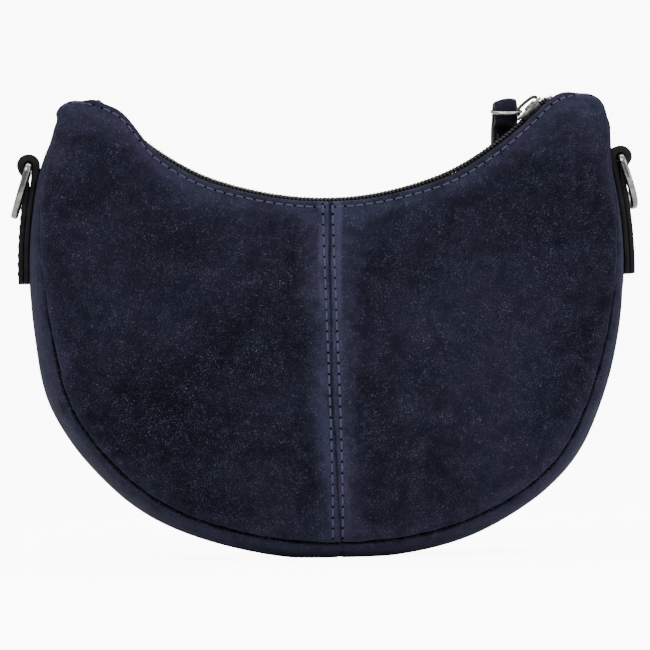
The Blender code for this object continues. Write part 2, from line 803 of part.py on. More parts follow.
def make_pull_tab(material):
    """A suede strip folded round the ring and laid on itself, leaning out over the back."""
    axis = tab_axis()
    lean = math.radians(TAB_LEAN_DEG)
    down = Vector((0, math.sin(lean), -math.cos(lean)))
    out = Vector((0, math.cos(lean), math.sin(lean)))
    radius = TAB_EYE_RADIUS + TAB_THICKNESS / 2
    behind = axis + out * radius
    before = behind - out * (TAB_THICKNESS + LAYER_SLIT)
    join = before + down * TAB_JOIN_DEPTH
    path = [before + down * TAB_LENGTH, before + down * mix(TAB_JOIN_DEPTH, TAB_LENGTH, 0.5)]
    leave = axis - out * radius * math.cos(TAB_LEAVE) + down * radius * math.sin(TAB_LEAVE)
    heading = -down * math.cos(TAB_LEAVE) - out * math.sin(TAB_LEAVE)
    pull = TAB_JOIN_DEPTH / 3
    for step in range(EYE_STATIONS // 2):
        share = step / (EYE_STATIONS // 2)
        path.append(bezier(join, join - down * pull, leave - heading * pull, leave, share))
    turn_span = math.pi + TAB_LEAVE
    for step in range(EYE_STATIONS + 1):
        turn = -TAB_LEAVE + turn_span * step / EYE_STATIONS
        path.append(axis - out * radius * math.cos(turn) - down * radius * math.sin(turn))
    path.append(behind + down * mix(TAB_JOIN_DEPTH, TAB_LENGTH, 0.5))
    path.append(behind + down * TAB_LENGTH)
    section = strap_section(TAB_THICKNESS, TAB_WIDTH)
    return sweep("pull_tab", path, Vector((1, 0, 0)), section, material)


# Strap loops and cast rings


def share_at_height(height):
    """Share of the half outline's length at which its side reaches a height."""
    low, high = 0.5, 1.0
    for _ in range(30):
        middle = (low + high) / 2
        if along(CREST_LINE, (middle,))[0].z < height:
            low = middle
        else:
            high = middle
    return (low + high) / 2


def cast_half_thickness():
    """Half of the widest span across the cast ring's section."""
    return math.hypot(CAST_THICKNESS, CAST_FLAT) / 2


def loop_eye():
    """Middle of the right loop's eye, with the outward and upward directions there."""
    point, outward = crest_at(share_at_height(LOOP_EYE_HEIGHT))
    upward = Vector((-outward.z, 0, outward.x))
    reach = SEAM_GAP + LOOP_THICKNESS + cast_half_thickness() + RING_BAR_CLEARANCE
    return point + outward * reach, outward, upward


def flip(spots, side):
    return [Vector((spot.x * side, spot.y, spot.z)) for spot in spots]


def make_strap_loop(name, side, material):
    """A strap laid up the gusset, folded round the ring's bar and laid back on itself."""
    eye, outward, upward = loop_eye()
    radius = cast_half_thickness() + RING_BAR_CLEARANCE + LOOP_THICKNESS / 2
    foot = share_at_height(LOOP_FOOT_HEIGHT)
    top = share_at_height(LOOP_EYE_HEIGHT)
    join = share_at_height(LOOP_EYE_HEIGHT - LOOP_JOIN_DEPTH)
    inner_lift = SEAM_GAP + LOOP_THICKNESS / 2
    outer_lift = inner_lift + LOOP_THICKNESS + LAYER_SLIT

    path = []
    for step in range(LOOP_STATIONS):
        spot, normal = crest_at(mix(foot, top, step / LOOP_STATIONS))
        path.append(spot + normal * inner_lift)
    for step in range(EYE_STATIONS + EYE_OVERRUN_STATIONS + 1):
        turn = math.pi * step / EYE_STATIONS
        path.append(eye - outward * radius * math.cos(turn) + upward * radius * math.sin(turn))
    spot, normal = crest_at(join)
    meet = spot + normal * outer_lift
    fall = Vector((normal.z, 0, -normal.x))
    last = path[-1]
    heading = (last - path[-2]).normalized()
    pull = LOOP_JOIN_DEPTH / 4
    for step in range(1, LOOP_BLEND_STATIONS):
        share = step / LOOP_BLEND_STATIONS
        path.append(bezier(last, last + heading * pull, meet - fall * pull, meet, share))
    for step in range(LOOP_LAP_STATIONS + 1):
        spot, normal = crest_at(mix(join, foot, step / LOOP_LAP_STATIONS))
        path.append(spot + normal * outer_lift)
    section = strap_section(LOOP_THICKNESS, LOOP_WIDTH)
    return sweep(name, flip(path, side), Vector((0, 1, 0)), section, material)


def make_cast_ring(name, side, material):
    """A cast D-ring with flat flanks, hanging from its straight bar."""
    eye, outward, upward = loop_eye()
    hang = math.radians(CAST_HANG_DEG)
    drop = outward * math.sin(hang) - upward * math.cos(hang)
    across = Vector((0, 1, 0))
    half = []
    for step in range(CAST_CORNER_STATIONS + 1):
        turn = math.pi / 2 * step / CAST_CORNER_STATIONS
        half.append((
            CAST_HALF_WIDTH - CAST_CORNER * (1 - math.sin(turn)),
            CAST_CORNER * (1 - math.cos(turn)),
        ))
    for step in range(CAST_ARM_STATIONS):
        turn = math.pi / 2 * step / CAST_ARM_STATIONS
        half.append((
            CAST_HALF_WIDTH * math.cos(turn) ** CAST_ROUNDING_POWER,
            mix(CAST_ARM, CAST_DROP, math.sin(turn) ** CAST_ROUNDING_POWER),
        ))
    outline = half + [(0, CAST_DROP)] + [(-wide, deep) for wide, deep in reversed(half)]
    path = flip([eye + across * wide + drop * deep for wide, deep in outline], side)
    normal = flip([across.cross(drop)], side)[0]
    section = cast_section(CAST_THICKNESS, CAST_FLAT)
    return sweep(name, path, normal, section, material, closed=True)


# Assembly


def pivot(name, place, parent=None):
    """An empty on a joint's axis."""
    empty = bpy.data.objects.new(name, None)
    bpy.context.collection.objects.link(empty)
    empty.empty_display_size = COIL_PITCH
    empty.location = place
    if parent:
        empty.parent = parent
        empty.location = place - parent.matrix_world.translation
    bpy.context.view_layer.update()
    return empty


def hang_on(item, empty):
    """Give a piece its joint's empty as parent and origin."""
    item.data.transform(Matrix.Translation(-empty.matrix_world.translation))
    item.parent = empty


def build_bag():
    suede = make_material("navy_suede", SUEDE_NAVY, 0.92, 0.0)
    strap = make_material("strap_leather", STRAP_DARK, 0.70, 0.0)
    lining = make_material("lining_cloth", LINING_GREY, 0.85, 0.0)
    tape_cloth = make_material("zip_tape", ZIP_BLACK, 0.80, 0.0)
    coil_black = make_material("zip_coil", ZIP_BLACK, 0.45, 0.0)
    nickel = make_material("slider_nickel", NICKEL, 0.25, 1.0)
    gunmetal = make_material("ring_gunmetal", GUNMETAL, 0.30, 1.0)

    for side, hand in ((LEFT, "left"), (RIGHT, "right")):
        make_panel("front_panel_" + hand, side, FRONT, suede)
        make_panel("back_panel_" + hand, side, BACK, suede)
        make_gusset("gusset_" + hand, side, suede)
        make_strap_loop(hand + "_strap_loop", side, strap)
        eye = flip([loop_eye()[0]], side)[0]
        ring_pivot = pivot(hand + "_ring_pivot", eye)
        hang_on(make_cast_ring(hand + "_d_ring", side, gunmetal), ring_pivot)

    for face, label in ((FRONT, "front"), (BACK, "back")):
        make_panel_lining(label + "_lining", face, lining)
        make_tape(label + "_zip_tape", face, tape_cloth)
        make_coil(label + "_zip_coil", face, coil_black)
        start, end = stop_angles()
        near = COIL_INNER_EDGE + chain_parting(end)
        far = COIL_OUTER_EDGE + chain_parting(end)
        arc_block(label + "_top_stop", start, end, near, far, face, nickel)
    make_gusset_lining("gusset_lining", lining)
    start, end = stop_angles()
    reach = COIL_OUTER_EDGE + STOP_SPREAD
    arc_block("bottom_stop", -end, -start, -reach, reach, BACK, nickel)

    zip_pivot = pivot("zip_pivot", Vector((0, 0, ZIP_ARC_CENTRE_HEIGHT)))
    body = make_slider_body(nickel)
    guides = [modifier.object for modifier in body.modifiers]
    for item in [body, make_slider_bail(nickel)] + guides:
        hang_on(item, zip_pivot)
    pull_pivot = pivot("pull_pivot", ring_hinge(), zip_pivot)
    hang_on(make_pull_ring(nickel), pull_pivot)
    tab_pivot = pivot("tab_pivot", tab_axis(), pull_pivot)
    hang_on(make_pull_tab(suede), tab_pivot)


clear_scene()
build_bag()
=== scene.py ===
# %% [markdown]
# # A half-moon crossbody bag in navy suede
# This lesson dresses a plain solid model of a small bag. The solids hold the sizes and
# the joints, and here each soft part is modelled again as the thing it really is: napped
# suede sewn with thread, a coil zip, plated metal and cast rings.
# We start by loading the solids.

# %% Load the solids
import math
from functools import partial

import bmesh
import bpy
import numpy as np
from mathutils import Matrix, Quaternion, Vector, noise


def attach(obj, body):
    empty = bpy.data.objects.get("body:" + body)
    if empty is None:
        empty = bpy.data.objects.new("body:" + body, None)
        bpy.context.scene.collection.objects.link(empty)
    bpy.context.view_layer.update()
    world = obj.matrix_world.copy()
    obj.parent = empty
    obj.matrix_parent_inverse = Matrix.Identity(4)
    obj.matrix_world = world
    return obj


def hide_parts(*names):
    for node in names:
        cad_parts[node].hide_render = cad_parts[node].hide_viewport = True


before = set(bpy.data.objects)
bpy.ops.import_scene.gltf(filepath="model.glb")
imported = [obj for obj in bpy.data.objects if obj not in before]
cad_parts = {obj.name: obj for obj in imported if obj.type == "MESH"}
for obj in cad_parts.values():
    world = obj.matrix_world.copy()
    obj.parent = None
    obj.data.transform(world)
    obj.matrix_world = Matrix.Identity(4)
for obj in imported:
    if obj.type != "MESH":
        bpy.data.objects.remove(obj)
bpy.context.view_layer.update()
print("solids loaded:", len(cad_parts))

# %% [markdown]
# ## Camera
# The photograph is a straight front view, taken a little from the left and tilted by
# about one degree. A long lens far away gives the same flat perspective. The width of
# the picture at the bag is known, so the lens follows from it and the distance.

# %% Place the camera
DISTANCE = 1.4
PICTURE_WIDTH = 0.2535
LOOK_AT = Vector((-0.0012, 0.0, 0.0900))
YAW, PITCH, ROLL = math.radians(-4.1), math.radians(-0.6), math.radians(1.1)


def add_object(name, data):
    """Put data into the scene as an object at the origin."""
    item = bpy.data.objects.new(name, data)
    bpy.context.collection.objects.link(item)
    return item


camera_data = bpy.data.cameras.new("camera")
camera_data.lens = camera_data.sensor_width * DISTANCE / PICTURE_WIDTH
camera = add_object("camera", camera_data)
away = Vector((math.sin(YAW) * math.cos(PITCH), -math.cos(YAW) * math.cos(PITCH), math.sin(PITCH)))
camera.location = LOOK_AT + away * DISTANCE
camera.rotation_mode = "QUATERNION"
camera.rotation_quaternion = Quaternion(away, -ROLL) @ (-away).to_track_quat("-Z", "Y")
bpy.context.scene.camera = camera
print("lens: %.0f mm" % camera_data.lens)

# %% [markdown]
# ## Working with nodes
# Every finish in Blender is a tree of small nodes. It can be drawn by hand in the shader
# editor, and here it is built in code, so that it can be read and changed line by line.
# These helpers keep that short: one adds a node and fills its inputs, and the others are
# the few blends, ramps and noises that the finishes of this bag share.


# %% Helpers for node trees
def fill(item, sources):
    """Give a node's inputs their links or plain values."""
    for label, source in sources.items():
        if isinstance(source, bpy.types.NodeSocket):
            item.id_data.links.new(source, item.inputs[label])
        else:
            item.inputs[label].default_value = source


def add_node(tree, kind, sources=(), **settings):
    """A new node with its settings, and its inputs filled."""
    item = tree.nodes.new(kind)
    for key, value in settings.items():
        setattr(item, key, value)
    fill(item, dict(sources))
    return item


def maths(tree, operation, first, second=0.0, clamp=False):
    """One operation on one or two inputs."""
    sources = {0: first, 1: second}
    return add_node(tree, "ShaderNodeMath", sources, operation=operation, use_clamp=clamp).outputs[0]


def sums(tree, *operations):
    """Some operations of one tree, as functions of two inputs."""
    return [partial(maths, tree, operation) for operation in operations]


def ramp(tree, source, low, high, start=0.0, end=1.0):
    """Map a value from low..high to start..end with soft ends."""
    sources = {"Value": source, "From Min": low, "From Max": high, "To Min": start, "To Max": end}
    return add_node(tree, "ShaderNodeMapRange", sources, interpolation_type="SMOOTHSTEP").outputs["Result"]


def blend_colour(tree, factor, first, second, mode="MIX"):
    """The first colour where the factor is 0, and the second blended in as it rises to 1."""
    sources = {0: factor, 6: first, 7: second}
    return add_node(tree, "ShaderNodeMix", sources, data_type="RGBA", blend_type=mode).outputs[2]


def speckle(tree, scale, detail=2.0, **more):
    """Smooth noise on the piece's own coordinates; the scale counts its specks in a metre."""
    place = add_node(tree, "ShaderNodeTexCoord").outputs["Object"]
    sources = {"Vector": place, "Scale": scale, "Detail": detail, **more}
    return add_node(tree, "ShaderNodeTexNoise", sources).outputs["Fac"]


def relief_of(tree, height, distance, strength=1.0):
    """The normals of a surface that rises by a distance, in metres, where the height is 1."""
    sources = {"Height": height, "Distance": distance, "Strength": strength}
    return add_node(tree, "ShaderNodeBump", sources).outputs["Normal"]


def new_material(name):
    """A new material, its tree and its Principled shader."""
    material = bpy.data.materials.new(name)
    material.use_nodes = True
    return material, material.node_tree, material.node_tree.nodes["Principled BSDF"]


# %% [markdown]
# ## Floor and light
# The photograph has a plain white ground and very soft light. A floor that curves up
# into a wall has no horizon line. Three large lamps and a pale sky light the suede from
# all round, with the brightest above and in front, so that the nap shows.

# %% Curved floor
FLOOR_REACH, WALL_FROM, SWEEP_RADIUS, SWEEP_STEPS = 6.0, 1.6, 1.2, 12
PAPER_GLOW = 9.0
sweep = [math.pi / 2 * step / SWEEP_STEPS for step in range(SWEEP_STEPS + 1)]
curve = [(WALL_FROM + SWEEP_RADIUS * math.sin(turn), SWEEP_RADIUS * (1 - math.cos(turn))) for turn in sweep]
profile = [(-FLOOR_REACH, 0.0), *curve, (WALL_FROM + SWEEP_RADIUS, FLOOR_REACH)]
floor_mesh = bpy.data.meshes.new("floor")
floor_mesh.from_pydata(
    [(side * FLOOR_REACH, y, z) for y, z in profile for side in (-1, 1)], [],
    [(2 * k, 2 * k + 1, 2 * k + 3, 2 * k + 2) for k in range(len(profile) - 1)],
)
floor_mesh.shade_smooth()
paper, tree, shader = new_material("white_paper")
seen = add_node(tree, "ShaderNodeLightPath").outputs["Is Camera Ray"]
fill(shader, {
    "Base Color": (0.82, 0.82, 0.82, 1), "Roughness": 0.9, "Emission Color": (1, 1, 1, 1),
    "Emission Strength": maths(tree, "MULTIPLY", seen, PAPER_GLOW),
})
floor_mesh.materials.append(paper)
add_object("floor", floor_mesh)
print("floor faces:", len(floor_mesh.polygons))


# %% Lamps and sky
def softbox(name, place, aim_height, size, power):
    """A large rectangular lamp that looks at the bag."""
    lamp = bpy.data.lights.new(name, "AREA")
    lamp.shape = "RECTANGLE"
    lamp.size, lamp.size_y = size
    lamp.energy = power
    item = add_object(name, lamp)
    item.location = place
    item.rotation_euler = (Vector((0, 0, aim_height)) - Vector(place)).to_track_quat("-Z", "Y").to_euler()


softbox("key", (-0.55, -1.0, 1.15), aim_height=0.09, size=(0.9, 0.7), power=21)
softbox("fill", (0.9, -0.9, 0.5), aim_height=0.09, size=(0.8, 0.9), power=10)
softbox("top", (0.0, 0.35, 1.3), aim_height=0.1, size=(1.2, 0.8), power=15)
sky = bpy.data.worlds.new("sky")
sky.use_nodes = True
direction = add_node(sky.node_tree, "ShaderNodeTexCoord").outputs["Generated"]
height = add_node(sky.node_tree, "ShaderNodeSeparateXYZ", {"Vector": direction}).outputs["Z"]
brightness = ramp(sky.node_tree, height, -0.1, 0.9, start=0.25, end=1.6)
fill(sky.node_tree.nodes["Background"], {"Color": (1, 1, 1, 1), "Strength": brightness})
bpy.context.scene.world = sky

# %% [markdown]
# ## The lines of the bag
# Everything soft hangs on three lines. The crest is the outline seen from the front. The
# mouth is the zip's arc, which ends in a rounded horn at each side. The seam runs inside
# the crest, where a panel is sewn to the gusset. All sizes here are in millimetres, and
# numpy works on whole rows of points at once.


# %% Helpers for lines
def rise(value, low, high):
    """Smooth step from 0 at low to 1 at high."""
    share = np.clip((np.asarray(value, float) - low) / (high - low), 0, 1)
    return share * share * (3 - 2 * share)


def near(value, middle, width):
    """Smooth bump, 1 at the middle and fading over the width."""
    return np.exp(-((value - middle) / width)**2)


def bezier(points, share):
    """Points on the curve that four points pull into shape."""
    first, second, third, fourth = (np.asarray(point, float) for point in points)
    s = np.asarray(share, float)[..., None]
    return first * (1 - s)**3 + second * 3 * (1 - s)**2 * s + third * 3 * (1 - s) * s * s + fourth * s**3


def unit(vectors):
    """The same directions, each with a length of 1."""
    return vectors / np.linalg.norm(vectors, axis=-1, keepdims=True)


def reach_of(line):
    """Distance run along a line, at each of its points."""
    return np.r_[0, np.cumsum(np.linalg.norm(np.diff(line, axis=0), axis=1))]


def along_line(line, marks, reach=None):
    """Every column of a line, read at marks of distance."""
    reach = reach_of(line) if reach is None else reach
    return np.stack([np.interp(marks, reach, line[:, k]) for k in range(line.shape[1])], -1)


def evenly(line, spacing):
    """The same line with evenly spaced points."""
    length = reach_of(line)[-1]
    return along_line(line, np.linspace(0, length, max(2, int(round(length / spacing)) + 1)))


# %% Crest
HALF_WIDTH, WIDEST_HEIGHT, BELLY_DEPTH, BELLY_ROUND = 115.6, 112.0, 113.1, 2 / 2.3
SHOULDER = [(HALF_WIDTH, WIDEST_HEIGHT), (HALF_WIDTH, 134), (111.2, 152.6), (107.2, 170.6)]
HEADING_STEP = 1.2
turns = np.linspace(0, math.pi / 2, 500)
belly = np.stack([
    HALF_WIDTH * np.sin(turns)**BELLY_ROUND,
    WIDEST_HEIGHT - BELLY_DEPTH * np.clip(np.cos(turns), 0, 1)**BELLY_ROUND,
], 1)
crest = np.vstack([belly, bezier(SHOULDER, np.linspace(0, 1, 300))[1:]])
crest_reach = reach_of(crest)
CREST_LENGTH = crest_reach[-1]


def crest_at(share):
    """Points of the right half of the outline, with the outward direction, as (x, z)."""
    run = np.asarray(share, float) * CREST_LENGTH
    before, spots, after = (
        along_line(crest, np.clip(run + shift, 0, CREST_LENGTH), crest_reach)
        for shift in (-HEADING_STEP, 0, HEADING_STEP)
    )
    heading = unit(after - before)
    return spots, np.stack([heading[..., 1], -heading[..., 0]], -1)


print("crest length: %.0f mm a side" % CREST_LENGTH)

# %% Mouth
ARC_RADIUS, ARC_CENTRE = 116.0, 255.6
HEM_END, HEM_DEPTH = 50.6, 2.55
HORN_CURVE = [(93.5, 181), (104.8, 181), (106.4, 174.2)]
MOUTH_POINTS, BLUR_POINTS, BLUR_WIDTH = 600, 40, 17.0
CORNER_BEGINS, CORNER_ENDS = (86, 98), (110, 118)


def arc_at(angle_deg, depth):
    """Points at a depth below the top of the zip's arc, as (x, z)."""
    angle, radius = np.radians(np.asarray(angle_deg, float)), ARC_RADIUS + depth
    return np.stack([radius * np.sin(angle), ARC_CENTRE - radius * np.cos(angle)], -1)


on_arc = arc_at(np.linspace(0, HEM_END, 400), HEM_DEPTH)
on_horn = bezier([on_arc[-1], *HORN_CURVE], np.linspace(0, 1, 120))
drawn = np.vstack([on_arc, on_horn[1:]])
marks = np.linspace(0, reach_of(drawn)[-1], MOUTH_POINTS)
mouth = along_line(drawn, marks)
blur = near(np.arange(-BLUR_POINTS, BLUR_POINTS + 1), 0, BLUR_WIDTH)
padded = np.vstack([mouth[:1].repeat(BLUR_POINTS, 0), mouth, mouth[-1:].repeat(BLUR_POINTS, 0)])
rounded = np.stack([np.convolve(padded[:, k], blur / blur.sum(), "valid") for k in (0, 1)], 1)
at_corner = rise(marks, *CORNER_BEGINS) * (1 - rise(marks, *CORNER_ENDS))
mouth = mouth + (rounded - mouth) * at_corner[:, None]
MOUTH_LENGTH = reach_of(mouth)[-1]
print("mouth length: %.0f mm a side" % MOUTH_LENGTH)

# %% [markdown]
# Both lines are walked in the same 20 stations, 16 on the arc and 4 on the horn. A
# station on the mouth then faces the station with the same number on the seam, and the
# skin between them can be drawn straight across.

# %% Stations along mouth, seam and gusset
ARC_STEPS, HORN_STEPS = 16, 4
SHARE_ON_ARC = 0.86
SPEED_CHANGES, MOUTH_NARROWS = (14.4, 17.8), (14.9, 17.4)
MOUTH_HALF, HORN_HALF = 8.5, 1.9
GUSSET_HALF, GUSSET_NARROWING, GUSSET_BOW, BOW_LOST = 27, 22.5, 6.5, 4.7


def even_run(station, speed, total):
    """Distance at each station: a steady speed on the arc, easing to another on the horn."""
    fine = np.linspace(0, ARC_STEPS + HORN_STEPS, 2001)
    change = rise(fine, *SPEED_CHANGES)
    later = change.mean() * fine[-1]
    slow = (total - speed * (fine[-1] - later)) / later
    pace = speed + (slow - speed) * change
    run = np.r_[0, np.cumsum((pace[1:] + pace[:-1]) / 2 * fine[1])]
    return np.interp(station, fine, run)


def mouth_at(station):
    """Points on the edge of the mouth at stations, as (x, z)."""
    speed = math.radians(HEM_END) * (ARC_RADIUS + HEM_DEPTH) / ARC_STEPS
    return along_line(mouth, even_run(station, speed, MOUTH_LENGTH))


def seam_share(station):
    """Share of the crest's length that a station stands at."""
    return even_run(station, SHARE_ON_ARC / ARC_STEPS, 1.0)


def mouth_width(station):
    """Half the width of the mouth, which closes at the horn."""
    return MOUTH_HALF - (MOUTH_HALF - HORN_HALF) * rise(station, *MOUTH_NARROWS)


def gusset_width(share):
    """Half the width of the gusset, which narrows towards the horn."""
    return GUSSET_HALF - GUSSET_NARROWING * (np.clip(share - 0.35, 0, 1) / 0.65)**3.5


def gusset_crown(share):
    """How far the gusset bows out beyond its seams."""
    return GUSSET_BOW - BOW_LOST * rise(share, 0.6, 0.92)


print("stations a side:", ARC_STEPS + HORN_STEPS)

# %% [markdown]
# ## How the bag settles
# The solids are even, and a soft bag never is: this one leans, its belly and its horns
# shift to opposite sides, and the hems of its left horn stand up over the zip. A cloth
# simulation could find such a rest, but it would also find others. Shifting every point
# by the same smooth rule keeps the pieces together and gives the photographed rest.

# %% Settling rules
HUMP_HEIGHT, HUMP_AT, HUMP_WIDTH = 5.7, -78.8, 8.2
CHAIN_HUMP, CHAIN_SAG = 0.1, 0.6
SAG_AT, SAG_WIDTH = 50, 15


def hem_hump(grid):
    """How far the hems of the left horn stand up, the front one nearly twice as far."""
    return HUMP_HEIGHT * near(grid[..., 0], HUMP_AT, HUMP_WIDTH) * (1 - 0.45 * rise(grid[..., 1], -3, 3))


def settle(grid):
    """Shift points of the even bag to where they rest."""
    x, z = grid[..., 0], grid[..., 2]
    reach = np.abs(x)
    horns, near_top = rise(z, 146, 168) * rise(reach, 86, 98), rise(z, 95, 140)
    # the right half: its horn and the horn's end, its flank, and its lower side
    right = 3.6 * horns + 0.8 * near(z, 169, 4) * rise(x, 86, 98)
    right = right - 0.9 * near(z, 72, 22) + 2.4 * rise(x, 30, 80) * near(z, 30, 20)
    # the left half: its horn and its flank
    left = 2.2 * horns - 1.6 * near(z, 60, 17)
    # the foot, the top of the centre seam, and then both halves
    lean = 1.9 * near(z, 0, 16) + near(x, 0, 25) * rise(z, 108, 136)
    lean = lean + left + (right - left) * rise(x, -12, 12)
    # the hems sag beside the hump and at the corners of the mouth, and the left of the foot lifts
    sag = 1.2 * near(reach, SAG_AT, SAG_WIDTH) + np.where(x > 0, 1.3, 2.0) * near(reach, 93.5, 4.5)
    lift = 0.8 * near(x, -42, 24) * (1 - rise(z, 8, 38)) + near_top * (hem_hump(grid) - sag)
    return grid + np.stack([lean, lean * 0, lift], -1)


def settle_chain(grid):
    """The zip settles less than the hems, so the slider still fits; its ends dive under the horns."""
    x, z = grid[..., 0], grid[..., 2]
    reach = np.abs(x)
    past = reach - np.where(x < 0, 2.6, 0.0)
    dive = 1.9 * rise(past, 84, 89.5) + 0.42 * np.maximum(reach - 88.3, 0)**2
    hump = hem_hump(grid) - CHAIN_HUMP * near(x, HUMP_AT, HUMP_WIDTH)
    dive = dive + rise(z, 95, 140) * (hump - CHAIN_SAG * near(reach, SAG_AT, SAG_WIDTH))
    return settle(grid) - np.stack([dive * 0, dive * 0, dive], -1)


def move_points(piece, change):
    """Pass a finished piece's points, in millimetres, through a function."""
    spots = np.zeros(len(piece.data.vertices) * 3)
    piece.data.vertices.foreach_get("co", spots)
    piece.data.vertices.foreach_set("co", change(spots.reshape(-1, 3) * 1000).reshape(-1) / 1000)
    piece.data.update()


# %% [markdown]
# ## Making a thick skin
# Suede is about 1.6 mm thick, and its edges show at the mouth. So each piece is a grid of
# points for the outside, the same grid moved inwards along its normals for the inside,
# and a strip of faces round the edge. At the hem the strip is a half circle, because the
# suede is folded over there.

# %% Pieces from points
SHARP_ANGLE = math.radians(50)


def grid_normals(grid):
    """Unit normals of half a piece, whose first column lies on the middle plane."""
    normal = np.cross(np.gradient(grid, axis=0), np.gradient(grid, axis=1))
    normal = normal / np.maximum(np.linalg.norm(normal, axis=-1, keepdims=True), 1e-9)
    normal[0, :, 0] = 0
    return normal


def make_piece(name, spots, faces, materials, face_material=None):
    """A mesh object from points in millimetres, with faces pointing outwards."""
    mesh = bpy.data.meshes.new(name)
    mesh.from_pydata((np.asarray(spots, float) * 0.001).tolist(), [], faces)
    for material in materials:
        mesh.materials.append(material)
    if face_material is not None:
        mesh.polygons.foreach_set("material_index", face_material)
    body = bmesh.new()
    body.from_mesh(mesh)
    bmesh.ops.recalc_face_normals(body, faces=body.faces[:])
    body.to_mesh(mesh)
    body.free()
    mesh.shade_smooth()
    mesh.set_sharp_from_angle(angle=SHARP_ANGLE)
    return add_object(name, mesh)


def keep_rub_sheen_shade(piece, values):
    """Store each point's rub, painted sheen and painted shade, for the suede's material to read."""
    layer = piece.data.attributes.new("rub", "FLOAT", "POINT")
    layer.data.foreach_set("value", np.ravel(values).astype(np.float32))


def dress(piece, body, node=None):
    """Tie a piece to its moving body and the solid that it stands for."""
    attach(piece, body)
    if node:
        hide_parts(node)


# %% Close two grids into a skin
def hem_bend(outer, inner, steps):
    """Rows of a half circle that joins the first rows of two grids."""
    middle, half = (outer[:, 0] + inner[:, 0]) / 2, (outer[:, 0] - inner[:, 0]) / 2
    up = unit(outer[:, 0] - outer[:, 1]) * np.linalg.norm(half, axis=-1, keepdims=True)
    bends = [math.pi * k / (steps + 1) for k in range(steps, 0, -1)]
    return [middle + half * math.cos(turn) + up * math.sin(turn) for turn in bends]


def thick_skin(name, outer, inner, material, hem_steps=0, rub=None):
    """One closed piece from two matching grids, with its hem folded over in a few steps."""
    columns, rows = outer.shape[:2]
    bend = hem_bend(outer, inner, hem_steps)
    loop = [outer[:, j] for j in range(rows)] + [inner[:, j] for j in reversed(range(rows))] + bend
    loop = np.stack(loop, 1)
    size = loop.shape[1]
    faces = []
    for i in range(columns - 1):
        for j in range(size):
            k = (j + 1) % size
            faces.append((i * size + j, i * size + k, (i + 1) * size + k, (i + 1) * size + j))
    for i in (0, columns - 1):
        for j in range(rows - 1):
            faces.append(tuple(i * size + k for k in (j, j + 1, 2 * rows - 2 - j, 2 * rows - 1 - j)))
        if bend:
            faces.append(tuple(i * size + k for k in (0, 2 * rows - 1, *range(2 * rows, size))))
    piece = make_piece(name, loop.reshape(-1, 3), faces, [material])
    if rub is not None:
        keep_rub_sheen_shade(piece, np.concatenate([rub, rub[:, ::-1] * 0] + [rub[:, :1]] * len(bend), 1))
    return piece


# %% [markdown]
# ## Suede
# Suede is the fleshy side of a hide, sanded until it stands up as a short nap. Its colour
# changes with the way that the nap lies: brushed patches look pale and others nearly
# black, with soft borders between. Close up there are fine pale fibres. Where the suede
# is pressed or rubbed, as beside seams, it goes lighter; its edges and the gusset, seen
# at a slant, are painted lighter as well, a painted sheen.
# One node group makes this nap from the piece's own coordinates, and every suede
# material uses it with its own colours. Each point of a piece says how rubbed it is, with
# painted sheen and painted shade in the same value: 1 is pale, up to 2 is brighter still,
# and below 0 lies painted shade, the black where a seam folds in.

# %% Node groups
SOCKET_OF_LABEL = {
    "Color": "NodeSocketColor", "Geometry": "NodeSocketGeometry", "Material": "NodeSocketMaterial",
}
SOCKET_OF_TYPE = {int: "NodeSocketInt", float: "NodeSocketFloat", tuple: "NodeSocketColor"}


def new_group(kind, name, inputs, outputs):
    """A node group, its inputs' sockets and its output node; the inputs are given by their first values."""
    group = bpy.data.node_groups.new(name, kind)
    for label, value in inputs.items():
        socket_type = SOCKET_OF_LABEL.get(label) or SOCKET_OF_TYPE[type(value)]
        socket = group.interface.new_socket(name=label, in_out="INPUT", socket_type=socket_type)
        if value is not None:
            socket.default_value = value
    for label in outputs:
        socket_type = SOCKET_OF_LABEL.get(label, "NodeSocketFloat")
        group.interface.new_socket(name=label, in_out="OUTPUT", socket_type=socket_type)
    return group, group.nodes.new("NodeGroupInput").outputs, group.nodes.new("NodeGroupOutput")


def cover(tree, shader, group, values, relief, strength=1.0):
    """Give a shader its colour, roughness and relief from a group."""
    surface = add_node(tree, "ShaderNodeGroup", values, node_tree=group)
    colour, rough, height = (surface.outputs[label] for label in ("Color", "Roughness", "Height"))
    normal = relief_of(tree, height, relief, strength)
    fill(shader, {"Base Color": colour, "Roughness": rough, "Normal": normal})


# %% The nap of the suede
# painted shade: the near black that the suede gets where its seams fold in
FOLD_PAINTED_SHADE = (0.0004, 0.0004, 0.0008, 1)
nap, given, result = new_group(
    "ShaderNodeTree", "suede_nap",
    {
        "Deep": (0.010, 0.011, 0.022, 1), "Pale": (0.040, 0.044, 0.078, 1), "Fibre": (0.16, 0.17, 0.26, 1),
        "Rub": 0.0, "Patch Scale": 13.0, "Fibre Scale": 1500.0,
    },
    ("Color", "Roughness", "Height"),
)
add, times = sums(nap, "ADD", "MULTIPLY")
patches = speckle(nap, given["Patch Scale"], 5.0, Roughness=0.62, Distortion=0.4)
mottle = speckle(nap, times(given["Patch Scale"], 12.0), 6.0, Roughness=0.7)
grain = speckle(nap, given["Fibre Scale"], 3.0, Roughness=0.75, Distortion=1.5)
stray = speckle(nap, times(given["Fibre Scale"], 0.8), 1.0, Distortion=3.0)
lit = times(ramp(nap, patches, 0.40, 0.64), 0.29)
lit = add(lit, times(ramp(nap, mottle, 0.32, 0.70), 0.18))
lit = add(lit, times(ramp(nap, grain, 0.30, 0.72), 0.22))
# rubbed nap and painted sheen lighten the nap; below 0 the same value darkens it as painted shade
rub_sheen_shade_mottled = times(given["Rub"], ramp(nap, mottle, 0.25, 0.65, 0.45, 1.0))
lit = maths(nap, "ADD", lit, times(rub_sheen_shade_mottled, 0.80), clamp=True)

